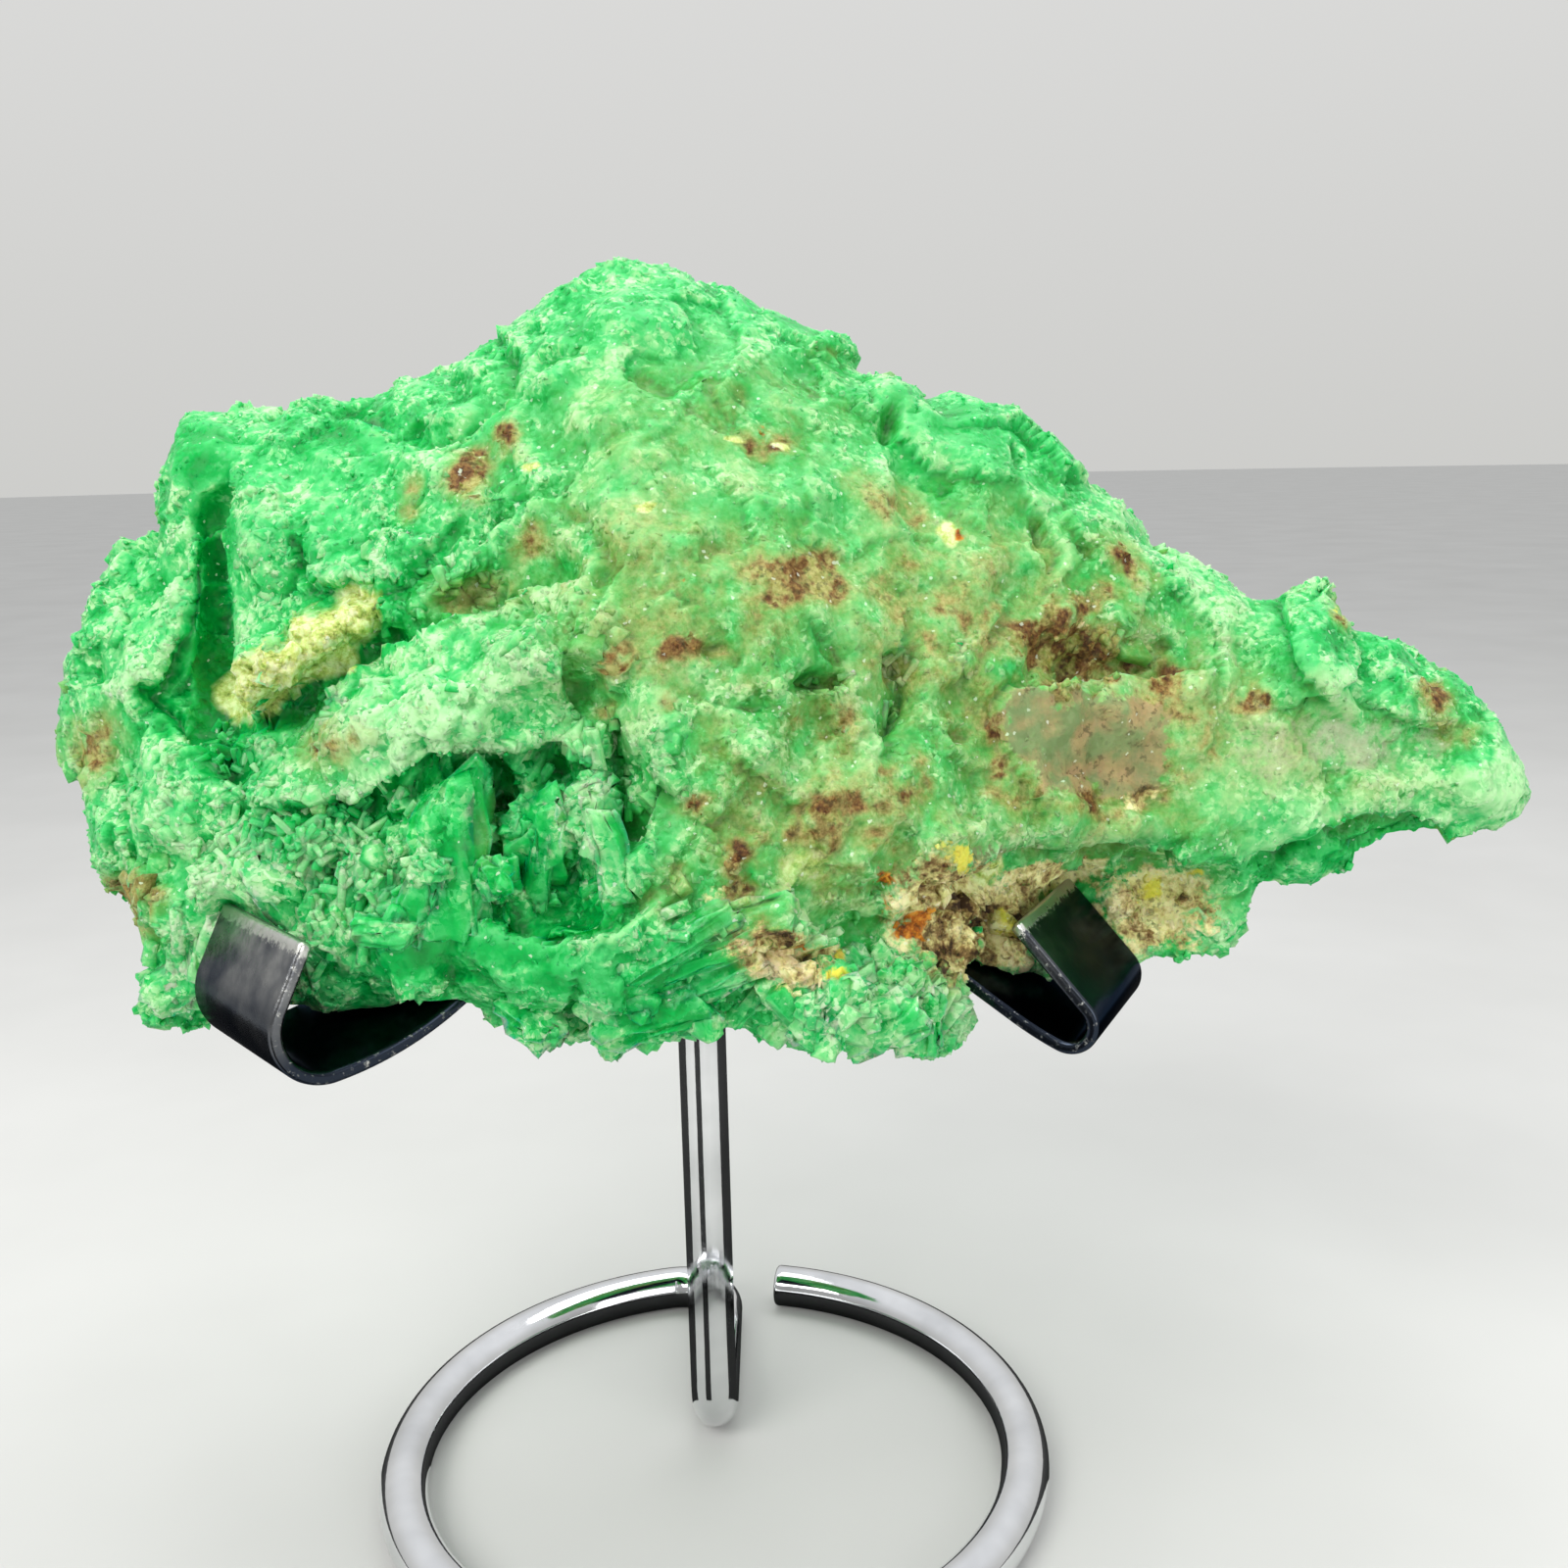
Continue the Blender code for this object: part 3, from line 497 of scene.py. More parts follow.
# %% Lay an even grid over the stone
SKIN_GRID = 0.61
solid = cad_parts["emerald_specimen"]
grid_object = bpy.data.objects.new("grid", solid.data.copy())
bpy.context.scene.collection.objects.link(grid_object)
remesh = grid_object.modifiers.new("even_grid", 'REMESH')
remesh.mode = 'VOXEL'
remesh.voxel_size = SKIN_GRID * MM
bpy.context.view_layer.update()
grid_mesh = bpy.data.meshes.new_from_object(
    grid_object.evaluated_get(bpy.context.evaluated_depsgraph_get()))
bpy.data.objects.remove(grid_object)
skin_points = read_points(grid_mesh)
skin_triangles = read_triangles(grid_mesh)
print("grid:", len(skin_points), "points,", len(skin_triangles), "triangles")

# %% [markdown]
# The stone must not grow into the metal that carries it. So the distance to the claws is
# measured, and near them nothing moves outwards. Only points near the claws' box are measured,
# because a search for every point of the stone would take long.

# %% Keep clear of the claws
CLEAR_OF_METAL = 1.4
NEAREST_TO_METAL = 0.4
CLAW_LOW, CLAW_HIGH = (np.array(corner) / MM - RING_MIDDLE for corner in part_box("claw_cradle"))


def metal_distance(points, reach=3.0):
    """Distance of each point from the claws, or the reach where that is farther."""
    found = np.full(len(points), reach)
    low, high = CLAW_LOW - reach, CLAW_HIGH + reach
    for index in np.flatnonzero(((points > low) & (points < high)).all(axis=1)):
        hit = metal_tree.find_nearest(Vector(points[index]), reach)
        if hit[3] is not None:
            found[index] = hit[3]
    return found


away = metal_distance(skin_points)
held_back = away < NEAREST_TO_METAL + CLEAR_OF_METAL
print("held back near the claws:", int(held_back.sum()), "points")

# %% [markdown]
# Three sizes of plates make the break: ledges of eight millimetres, plates about half as wide,
# and chips of two millimetres. They are strong where the stone is coarse and weak where it is
# waxy. Hollows and steps come on top, on the face only.

# %% Break the skin into plates
LEDGES = dict(size=8.5, tilt=0.12, rise=0.5, seed=20)
BROAD = dict(size=4.6, tilt=0.16, rise=0.26, seed=21)
CHIPS = dict(size=1.9, tilt=0.1, rise=0.07, seed=22)
skin_normals = normals_of(skin_points, skin_triangles)[2]
seen_x, seen_w = as_seen(skin_points)
front = smooth_step(skin_normals @ TO_EYE, -0.2, 0.15)
ledges, ledge_tone = plates(skin_points, **LEDGES)
broad, broad_tone = plates(skin_points, **BROAD)
chips, chip_tone = plates(skin_points, **CHIPS)
move = relief_share(seen_x, seen_w, front) * (ledges + broad + chips)
move += front * (cliffs(seen_x, seen_w)[0] + patches(seen_x, seen_w, RISES) - sunk(seen_x, seen_w))
room = np.clip((away - NEAREST_TO_METAL) / CLEAR_OF_METAL, 0, 1)
move = np.where(move > 0, move * room, move)
skin_points = skin_points + move[:, None] * skin_normals
facet_normals, facet_areas, skin_normals = normals_of(skin_points, skin_triangles)
print("moved by", move.min().round(2), "to", move.max().round(2), "mm")

# %% [markdown]
# To know which points stand proud, each one is compared with the mean of its neighbours. A point above that
# mean is on an edge and a point below it is in a crack. The mean is taken a few times over, which gives the
# answer on the scale of a chip and not of a single point. The colours need it: raised edges are painted a
# pale mint, as bruised edges are, and recesses are painted a deeper green, which is painted shade.

# %% Measure edges and cracks
def neighbour_mean(values, triangles, rounds):
    """Smooth a value over the mesh by averaging it with its neighbours."""
    count = np.zeros(len(values))
    for k in range(3):
        np.add.at(count, triangles[:, k], 2.0)
    for _ in range(rounds):
        total = np.zeros_like(values)
        for k in range(3):
            others = values[triangles[:, (k + 1) % 3]] + values[triangles[:, (k + 2) % 3]]
            np.add.at(total, triangles[:, k], others)
        values = total / count.reshape((-1,) + (1,) * (values.ndim - 1))
    return values


FULLY_PROUD = 0.22
soft_points = neighbour_mean(skin_points, skin_triangles, 3)
# Points below the mean of their neighbours get negative values, which the greens paint darker: painted shade
# in recesses.
proud = np.clip(((skin_points - soft_points) * skin_normals).sum(axis=1) / FULLY_PROUD, -1, 1)
print("share of the skin on an edge:", round(float((proud > 0.3).mean()), 2))

# %% [markdown]
# Colour is painted by masks. Each is a number from 0 to 1 at every point, and is drawn as a list of patches
# on the face. The first one makes the green deep: in clear blades, which are deep green, and in hollows and
# crevices, where the darker green is painted shade.

# %% Where the green is deep, and where hollows are painted in shade
DEEP_GREEN_AND_SHADE = (
    ((-44.4, 15.8), (2.0, 9.5), -5, 1.0),
    ((-48.4, 7.6), (3.6, 1.6), -32, 0.8),
    ((-43.3, 2.9), (2.8, 2.2), 0, 1.0),
    ((-24.1, 33.3), (4.6, 1.7), 3, 1.0),
    ((-45.0, 32.3), (2.8, 4.0), 0, 0.7),
    ((-31.0, 32.6), (6.4, 3.0), 5, 0.65),
    ((-26.0, 21.4), (2.0, 3.0), 0, 0.7),
    ((-36.0, 22.0), (2.0, 3.6), 15, 0.5),
    ((-36.8, 7.6), (4.0, 1.8), 22, 0.9),
    ((-14.5, -4.0), (8.5, 6.5), 0, 0.3),
    ((-10.2, 9.6), (1.8, 3.2), 0, 0.7),
    ((-6.4, -2.0), (1.4, 5.0), 5, 0.8),
    ((-20.6, -4.6), (2.6, 6.4), 0, 0.6),
    ((-18.0, -15.6), (12.0, 4.0), -8, 0.6),
    ((-3.0, -20.0), (8.0, 3.4), -6, 0.6),
    ((3.0, -15.0), (8.0, 4.0), 10, 0.55),
    ((64.2, -6.9), (8.0, 2.0), 4, 0.9),
    ((57.8, 10.6), (2.4, 3.4), 8, 0.55),
    ((21.4, 34.4), (6.0, 2.4), -12, 0.5),
    ((29.0, 30.0), (4.0, 3.0), -40, 0.5),
    ((-28.4, -10.0), (3.4, 4.0), 10, 0.55),
    ((6.6, 29.8), (3.4, 2.0), -8, 0.35),
    ((2.0, 37.0), (7.0, 4.0), 0, 0.25),
    ((33.6, 23.4), (0.9, 1.9), 25, 0.8),
    ((19.2, 8.4), (1.3, 3.6), 0, 0.8),
    ((12.7, 9.7), (2.1, 1.3), 10, 0.85),
    ((37.6, 21.4), (0.8, 1.4), 35, 0.5),
    ((14.0, 12.8), (1.2, 2.0), 0, 0.6),
    ((3.0, 21.0), (13.0, 9.0), -10, 0.42),
    ((-20.0, -15.2), (12.0, 3.0), -4, 0.75),
)
print(len(DEEP_GREEN_AND_SHADE), "deep patches")

# %% [markdown]
# Where crystals are crushed or seen end on, light comes back from hundreds of small faces, and the
# green turns to a pale mint.

# %% Where the green is mint
MINT = (
    ((-25.0, 7.4), (13.0, 5.0), 21, 0.95),
    ((-33.0, 0.0), (9.0, 5.0), 30, 0.5),
    ((-44.6, -6.4), (3.8, 6.0), 0, 0.6),
    ((-49.0, 0.0), (5.0, 5.0), 0, 0.6),
    ((-28.0, -7.0), (3.4, 4.4), 0, 0.4),
    ((-37.0, 28.6), (5.4, 4.0), 0, 0.55),
    ((-52.0, 12.0), (3.2, 6.0), -20, 0.4),
    ((-21.0, 34.0), (6.0, 1.4), 12, 0.8),
    ((-10.0, 36.5), (8.0, 1.8), 38, 0.6),
    ((-4.8, 47.4), (5.0, 1.6), 0, 0.6),
    ((1.0, 27.5), (9.0, 3.0), 0, 0.45),
    ((-10.4, -1.0), (2.4, 3.4), 0, 0.6),
    ((-6.0, 2.8), (1.4, 4.4), 0, 0.5),
    ((45.0, 22.0), (8.0, 3.0), -42, 0.7),
    ((50.0, 14.0), (5.0, 4.0), -20, 0.6),
    ((75.0, -1.8), (5.0, 4.0), 0, 0.8),
    ((56.0, 0.0), (8.0, 4.0), 10, 0.6),
    ((66.0, 0.0), (8.0, 4.0), -10, 0.6),
    ((22.0, 29.8), (5.0, 1.8), 0, 0.65),
    ((17.0, -20.6), (8.0, 3.0), 0, 0.25),
    ((12.0, -10.6), (4.0, 3.6), 0, 0.55),
    ((18.6, 8.6), (1.6, 3.0), -20, 0.45),
    ((-13.0, 19.0), (6.0, 3.0), 20, 0.45),
    ((61.0, 7.0), (4.0, 3.0), -20, 0.7),
)
print(len(MINT), "mint patches")

# %% [markdown]
# Iron has seeped into the stone. Small strong patches are the brown hearts of stains, and wide
# weak ones give the olive haze round them.

# %% Where iron has stained the stone
STAINS = (
    ((-19.6, 29.4), (2.8, 2.2), 25, 1.0),
    ((-16.0, 32.5), (1.6, 1.6), 60, 0.9),
    ((-25.4, 27.6), (1.2, 1.9), 0, 0.9),
    ((-13.7, 22.3), (2.8, 2.2), 0, 0.7),
    ((-19.0, 18.6), (4.4, 2.2), 15, 0.55),
    ((7.5, 32.2), (3.2, 1.6), 0, 0.9),
    ((10.6, 19.2), (6.8, 2.9), -5, 1.0),
    ((-5.9, 11.0), (2.3, 2.1), 0, 0.9),
    ((0.9, 12.4), (4.0, 1.6), 5, 0.85),
    ((-7.5, 7.5), (1.0, 0.8), 0, 0.7),
    ((-1.9, 7.4), (1.2, 1.2), 0, 0.75),
    ((-34.1, 4.1), (2.7, 2.4), 0, 0.8),
    ((-31.0, 5.4), (1.3, 1.5), 0, 0.5),
    ((19.5, 25.9), (4.4, 2.6), -30, 0.65),
    ((27.0, 20.4), (6.0, 3.4), -30, 0.5),
    ((41.3, 19.4), (1.6, 4.0), 40, 0.75),
    ((20.1, 0.0), (4.0, 2.8), 0, 0.8),
    ((0.1, -1.8), (1.7, 1.3), -30, 0.75),
    ((53.0, 7.2), (1.7, 2.3), -15, 1.0),
    ((51.8, 6.0), (3.4, 4.6), 0, 0.6),
    ((49.8, 1.8), (1.8, 1.9), 0, 0.6),
    ((69.6, 6.9), (2.0, 1.3), -30, 1.0),
    ((71.6, 3.8), (2.6, 1.6), -25, 0.55),
    ((-55.8, 5.0), (2.9, 3.4), 0, 0.85),
    ((-52.0, -9.6), (3.0, 2.2), -30, 0.9),
    ((5.0, -8.4), (2.2, 4.6), 15, 1.0),
    ((7.4, -15.4), (4.0, 2.6), -20, 0.95),
    ((43.0, -12.4), (7.0, 4.4), 0, 0.15),
    ((12.6, 5.4), (4.6, 4.4), 0, 0.5),
    ((4.0, 4.6), (3.4, 3.0), 0, 0.35),
    ((31.0, 12.0), (2.6, 3.6), 0, 0.8),
    ((37.6, 17.0), (3.2, 1.4), 0, 0.8),
    ((33.4, -1.6), (5.0, 2.4), 10, 0.7),
    ((43.2, -1.4), (3.0, 2.0), 0, 0.75),
    ((22.9, -8.4), (2.2, 1.3), -20, 1.0),
    ((0.0, 18.0), (15.0, 13.0), -10, 0.4),
    ((2.0, 34.0), (16.0, 7.0), 0, 0.22),
    ((26.0, 14.0), (15.0, 12.0), -15, 0.5),
    ((38.0, 4.0), (14.0, 11.0), 0, 0.66),
    ((14.0, -4.0), (14.0, 8.0), -10, 0.6),
    ((58.0, 2.0), (11.0, 5.0), -10, 0.42),
    ((36.0, 11.8), (8.6, 3.4), -6, 1.0),
    ((34.4, 14.8), (2.6, 3.2), 0, 1.0),
    ((31.2, 8.4), (3.0, 2.2), 20, 0.95),
    ((28.6, 2.4), (1.4, 5.4), 6, 1.0),
    ((41.6, 4.6), (3.8, 3.6), 0, 0.86),
    ((36.6, -1.8), (4.6, 1.4), 10, 0.8),
    ((44.8, 9.0), (1.6, 3.0), 0, 0.85),
    ((47.6, -11.0), (3.0, 3.0), 0, 0.25),
    ((25.2, -14.4), (3.8, 4.6), 0, 1.0),
    ((31.6, -12.4), (2.4, 2.4), 0, 0.7),
    ((12.8, 40.0), (1.2, 0.7), -20, 0.5),
    ((61.5, 14.4), (0.7, 2.0), 15, 0.8),
    ((-19.2, -4.1), (0.7, 2.4), -8, 0.9),
    ((-1.8, -9.0), (2.6, 3.0), 0, 0.35),
)
print(len(STAINS), "iron stains")

# %% [markdown]
# Other minerals lie on the green: a gritty grey-brown matrix round the right claw, one flat
# grey-tan face, a lumpy cream crust on the left, a few spots of yellow and of rust, and grey
# dust.

# %% Where other minerals lie
MATRIX = (
    ((25.9, -12.9), (8.2, 5.8), -12, 1.0),
    ((43.4, -12.6), (6.4, 4.2), -5, 0.95),
    ((39.6, 11.3), (4.6, 1.2), -4, 0.5),
    ((36.6, 15.0), (1.4, 0.9), 0, 0.5),
    ((42.4, -1.8), (2.6, 2.0), 0, 0.6),
    ((8.0, -16.0), (5.2, 3.0), -14, 1.0),
    ((34.0, -9.4), (6.0, 1.4), 4, 0.9),
    ((3.4, -9.6), (2.0, 1.6), 0, 0.5),
)
PLATE = (
    ((32.2, 5.2), (3.4, 4.0), -8, 1.0),
    ((36.0, 3.6), (4.0, 4.4), 0, 1.0),
    ((41.0, 3.0), (4.6, 5.0), 10, 1.0),
    ((27.0, -7.0), (2.6, 1.2), 15, 0.6),
)
CREAM = (
    ((-40.8, 10.0), (3.4, 2.7), 10, 1.0),
    ((-38.0, 12.4), (3.2, 2.5), 30, 1.0),
    ((-34.4, 14.4), (3.8, 2.6), 25, 1.0),
    ((-30.6, 16.8), (2.4, 2.6), 30, 0.9),
    ((-33.0, 12.6), (2.6, 1.2), 25, 0.75),
    ((-3.1, 26.7), (0.9, 0.7), 0, 0.8),
    ((-2.1, 20.1), (0.7, 0.5), 0, 0.8),
    ((-13.9, 30.7), (0.9, 0.8), 0, 0.8),
    ((24.8, 23.4), (1.3, 1.1), 0, 0.7),
    ((4.8, 32.4), (0.8, 0.5), 0, 0.7),
    ((9.2, 31.9), (0.9, 0.4), -20, 0.7),
    ((27.6, -8.4), (2.0, 0.8), 15, 0.6),
    ((10.6, -8.2), (2.8, 2.4), 0, 0.42),
)
SULPHUR = (
    ((24.9, -6.8), (1.5, 1.1), 0, 1.0),
    ((28.9, -13.1), (0.7, 1.2), 0, 0.9),
    ((42.9, -10.6), (0.9, 1.2), 0, 1.0),
    ((46.9, -9.6), (0.9, 0.6), 0, 0.8),
    ((13.5, -16.9), (1.0, 0.9), 0, 0.9),
    ((61.8, 16.2), (0.8, 1.0), 20, 0.6),
)
RUST = (
    ((17.8, -9.7), (0.9, 1.8), 10, 1.0),
    ((20.5, -13.2), (1.6, 1.3), 0, 1.0),
    ((10.4, -15.2), (1.1, 1.0), 0, 0.9),
    ((0.1, 19.9), (0.6, 0.25), 0, 0.7),
    ((25.8, 23.2), (0.5, 0.6), 0, 0.9),
    ((8.0, 33.0), (0.5, 1.0), -30, 0.7),
)
DUST = (
    ((61.5, 2.8), (6.4, 3.4), -18, 0.8),
    ((68.0, 3.2), (4.6, 2.0), -30, 0.5),
    ((54.0, 3.0), (4.0, 5.0), -10, 0.5),
    ((50.0, 12.0), (4.0, 5.0), -30, 0.35),
    ((44.6, -11.8), (5.0, 3.0), 0, 0.25),
)
print("patches of other minerals:", sum(map(len, (MATRIX, PLATE, CREAM, SULPHUR, RUST, DUST))))

# %% [markdown]
# One function paints the skin, the grains and the crystals, so they always agree. It tears up the drawn
# patches with clouds, so that no oval shows, and paints the hidden back with clouds alone. Hollows are
# painted a deeper green by how far they sink, which is painted shade, and the lips of steps are mint wherever
# they are. The waxy patches are stored as a mask too, because they take a calmer colour and less grain.

# %% Tear the patches and paint
MASKS = dict(deep=DEEP_GREEN_AND_SHADE, mint=MINT, stain=STAINS, matrix=MATRIX, plate=PLATE, cream=CREAM,
             sulphur=SULPHUR, rust=RUST, dust=DUST, waxy=WAXY)
TEAR = dict(deep=0.45, mint=0.5, stain=0.6, matrix=0.25, plate=0.15, cream=0.12, sulphur=0.1,
            rust=0.15, dust=0.3, waxy=0.3)
BACK_LEVEL = dict(deep=0.32, mint=0.36, stain=0.22, matrix=0.1, plate=0.0, cream=0.0, sulphur=0.0,
                  rust=0.0, dust=0.1, waxy=0.3)
FACING_SPAN = (-0.35, 0.05)


def paint(points, front):
    """All masks at the given points: drawn patches on the front and clouds on the back."""
    x, w = as_seen(points)
    low, high = front * sunk(x, w), front * cliffs(x, w)[0]
    x = x + 1.1 * cloud(points, 3.0, 44) + 0.5 * cloud(points, 1.1, 46)
    w = w + 1.1 * cloud(points, 3.0, 45) + 0.5 * cloud(points, 1.1, 47)
    wide = cloud(points, 11.0, 41)
    middle = cloud(points, 2.4, 42)
    fine = cloud(points, 1.0, 43)
    painted = {}
    for order, (name, marks) in enumerate(MASKS.items()):
        torn = 1 + TEAR[name] * (middle + fine)
        drawn = patches(x, w, marks, 3) * torn
        hidden = smooth_step(cloud(points, 8.0, 60 + order) + 0.5 * middle + 0.3 * wide, 0.1, 0.9)
        level = BACK_LEVEL[name]
        value = front * drawn + (1 - front) * hidden * 2.4 * level
        # Hollows, cracks and the foot of each step are painted a deeper green by how far they sink: painted
        # shade.
        if name == "deep":
            value = np.maximum(value, 0.5 * low)
        if name == "mint":
            value = np.maximum(value, 0.9 * high)
        painted[name] = np.clip(value, 0, 1)
    return painted


print(len(MASKS), "masks are painted")

# %% [markdown]
# The masks go onto the mesh as attributes, which a material can read by name. With them go how
# proud a point stands and the tone of its plate.

# %% Store the masks
def write_masks(made, masks):
    """Store masks on a mesh, by name, as attributes that the materials read."""
    for name, values in masks.items():
        layer = made.data.attributes.new(name, 'FLOAT', 'POINT')
        layer.data.foreach_set("value", np.asarray(values, dtype=np.float32))


skin_front = smooth_step(skin_normals @ TO_EYE, *FACING_SPAN)
skin_masks = paint(skin_points, skin_front)
skin_tone = 0.5 * ledge_tone + 0.4 * broad_tone + 0.3 * chip_tone
for name, values in skin_masks.items():
    print(name, "covers", round(float((values > 0.4).mean()) * 100, 1), "percent")

# %% [markdown]
# ## Materials
# A material is a small network of nodes. The helpers below keep each line of it short: one adds
# a node and fills its sockets, the others add sums and mixes. Colours are given as a paint
# program shows them and turned into the linear values that a shader needs.

# %% Add nodes, sums and mixes
def colour(red, green, blue):
    """A colour from 0 to 255 turned into linear values."""
    parts = [value / 255 for value in (red, green, blue)]
    return tuple(p / 12.92 if p <= 0.04045 else ((p + 0.055) / 1.055) ** 2.4 for p in parts) + (1.0,)


def add(tree, kind, sockets=None, **settings):
    """Add a node, set its properties, and fill or link its inputs."""
    made = tree.nodes.new("ShaderNode" + kind)
    for key, value in settings.items():
        setattr(made, key, value)
    for key, value in (sockets or {}).items():
        if isinstance(value, bpy.types.NodeSocket):
            tree.links.new(value, made.inputs[key])
        else:
            made.inputs[key].default_value = value
    return made


def math_node(tree, operation, first, second=0.0, third=0.0, clamp=False):
    """One sum of two values, or of three for MULTIPLY_ADD."""
    sockets = {0: first, 1: second, 2: third}
    return add(tree, "Math", sockets, operation=operation, use_clamp=clamp).outputs[0]


def span(tree, value, low, high, to_low=0.0, to_high=1.0):
    """Stretch a value from one range to another, and stop at its ends."""
    sockets = {"Value": value, "From Min": low, "From Max": high, "To Min": to_low, "To Max": to_high}
    return add(tree, "MapRange", sockets, clamp=True).outputs["Result"]


def blend_colours(tree, factor, first, second, how='MIX'):
    """Mix two colours by a factor."""
    sockets = {0: factor, 6: first, 7: second}
    return add(tree, "Mix", sockets, data_type='RGBA', blend_type=how).outputs[2]


print("a middle grey of 128 is", round(colour(128, 128, 128)[0], 3), "in linear values")

# %% [markdown]
# Patterns are given by the size of their lumps or cells in millimetres, not by a scale, so that
# a number can be set against a ruler. Cells with straight edges look like tiles, so the
# coordinates are pushed about first.

# %% Noises, cells and runs of colour
def noise(tree, where, size, detail=3.0, rough=0.55):
    """Cloudy noise with lumps of the given size in millimetres."""
    sockets = {"Vector": where, "Scale": 1 / (size * MM), "Detail": detail, "Roughness": rough}
    return add(tree, "TexNoise", sockets).outputs["Fac"]


def cells(tree, where, size):
    """One random colour for each cell of the given size in millimetres."""
    sockets = {"Vector": where, "Scale": 1 / (size * MM)}
    return add(tree, "TexVoronoi", sockets).outputs["Color"]


def vector_math(tree, operation, first, second):
    """One sum of two vectors."""
    return add(tree, "VectorMath", {0: first, 1: second}, operation=operation).outputs[0]


def shaken(tree, where, size, amount):
    """Coordinates that noise has pushed about, so that cell edges aren't straight."""
    sockets = {"Vector": where, "Scale": 1 / (size * MM), "Detail": 2.0}
    push = vector_math(tree, 'SUBTRACT', add(tree, "TexNoise", sockets).outputs["Color"], (0.5, 0.5, 0.5))
    pushed = vector_math(tree, 'MULTIPLY', push, (2 * amount * MM,) * 3)
    return vector_math(tree, 'ADD', where, pushed)


def cell_tone(tree, where, size):
    """One random value from 0 to 1 for each cell."""
    return add(tree, "SeparateColor", {0: cells(tree, where, size)}).outputs[0]


def ramp(tree, factor, stops):
    """A run of colours along a factor."""
    made = add(tree, "ValToRGB", {"Fac": factor})
    elements = made.color_ramp.elements
    while len(elements) < len(stops):
        elements.new(0.5)
    for element, (position, shade) in zip(elements, stops):
        element.position = position
        element.color = shade
    return made.outputs["Color"]


def mask(tree, name):
    """Read one of the painted masks."""
    return add(tree, "Attribute", attribute_name=name).outputs["Fac"]


print("cells of one millimetre have a scale of", round(1 / MM))

# %% [markdown]
# A node group is a network with named sockets that several materials share. These helpers make
# one, place it in a material, and start a material that has only its shader.

# %% Groups and materials
def new_group(name, inputs, outputs):
    """An empty node group with named sockets, and its input and output nodes."""
    tree = bpy.data.node_groups.new(name, "ShaderNodeTree")
    for label, kind, value in inputs:
        socket = tree.interface.new_socket(name=label, in_out='INPUT', socket_type=kind)
        if value is not None:
            socket.default_value = value
    for label, kind in outputs:
        tree.interface.new_socket(name=label, in_out='OUTPUT', socket_type=kind)
    return tree, tree.nodes.new("NodeGroupInput").outputs, tree.nodes.new("NodeGroupOutput").inputs


def use_group(tree, group, sockets):
    """Place a node group in a network and fill its inputs."""
    return add(tree, "Group", sockets, node_tree=group).outputs


def new_material(name):
    """A material with only its Principled shader and output."""
    made = bpy.data.materials.new(name)
    made.use_nodes = True
    return made, made.node_tree, made.node_tree.nodes["Principled BSDF"]


NUMBER = "NodeSocketFloat"
COLOUR = "NodeSocketColor"
print("sockets carry numbers or colours:", NUMBER, COLOUR)

# %% [markdown]
# The green itself runs from a dark bottle green through emerald to a milky mint. On the real
# stone it changes over every millimetre, because each grain holds more or less air in its
# cracks. The group adds up what is painted and what noise gives, and reads the sum from one run
# of colours. It is a group because the skin, the grains and the crystals all use it.

# %% Group: emerald greens
GRAINY_NOISE = (3.0, 3.0, 0.6)
GRAINY_SPAN = (0.44, 0.56)
greens, into, out = new_group("emerald_greens",
                              [("Level", NUMBER, 0.5), ("Mint", NUMBER, 0.0), ("Deep_and_shade", NUMBER, 0.0),
                               ("Proud", NUMBER, 0.0), ("Tone", NUMBER, 0.0), ("Mottle", NUMBER, 1.0),
                               ("Waxy", NUMBER, 0.0)],
                              [("Color", COLOUR), ("Milk", NUMBER)])
where = add(greens, "TexCoord").outputs["Object"]
wide_noise = span(greens, noise(greens, where, 6.0, 3.0), 0.3, 0.7, -0.1, 0.1)
near_noise = span(greens, noise(greens, where, 1.6, 4.0, 0.6), 0.34, 0.66, -0.09, 0.09)
mottle = math_node(greens, 'ADD', wide_noise, near_noise)
crooked = shaken(greens, where, 0.9, 0.35)
for size, weight in ((2.2, 0.05), (0.9, 0.06)):
    tone = span(greens, cell_tone(greens, crooked, size), 0.0, 1.0, -weight, weight)
    mottle = math_node(greens, 'ADD', mottle, tone)
grainy = span(greens, noise(greens, where, *GRAINY_NOISE), *GRAINY_SPAN)
grains = span(greens, cell_tone(greens, crooked, 0.42), 0.0, 1.0, -0.16, 0.24)
# Flecks are pale cells added to the grains: frosted grains, and partly painted highlights.
flecks = span(greens, cell_tone(greens, crooked, 0.5), 0.72, 0.76, 0.0, 0.24)
grains = math_node(greens, 'ADD', grains, flecks)
mottle = math_node(greens, 'MULTIPLY_ADD', span(greens, grainy, 0.0, 1.0, 0.22, 1.0), grains, mottle)
calm = math_node(greens, 'MULTIPLY', into["Mottle"], span(greens, into["Deep_and_shade"], 0.1, 0.7, 1.0, 0.45))
calm = math_node(greens, 'MULTIPLY', calm, span(greens, into["Waxy"], 0.2, 0.8, 1.0, 0.4))
total = math_node(greens, 'MULTIPLY_ADD', mottle, calm, into["Level"])
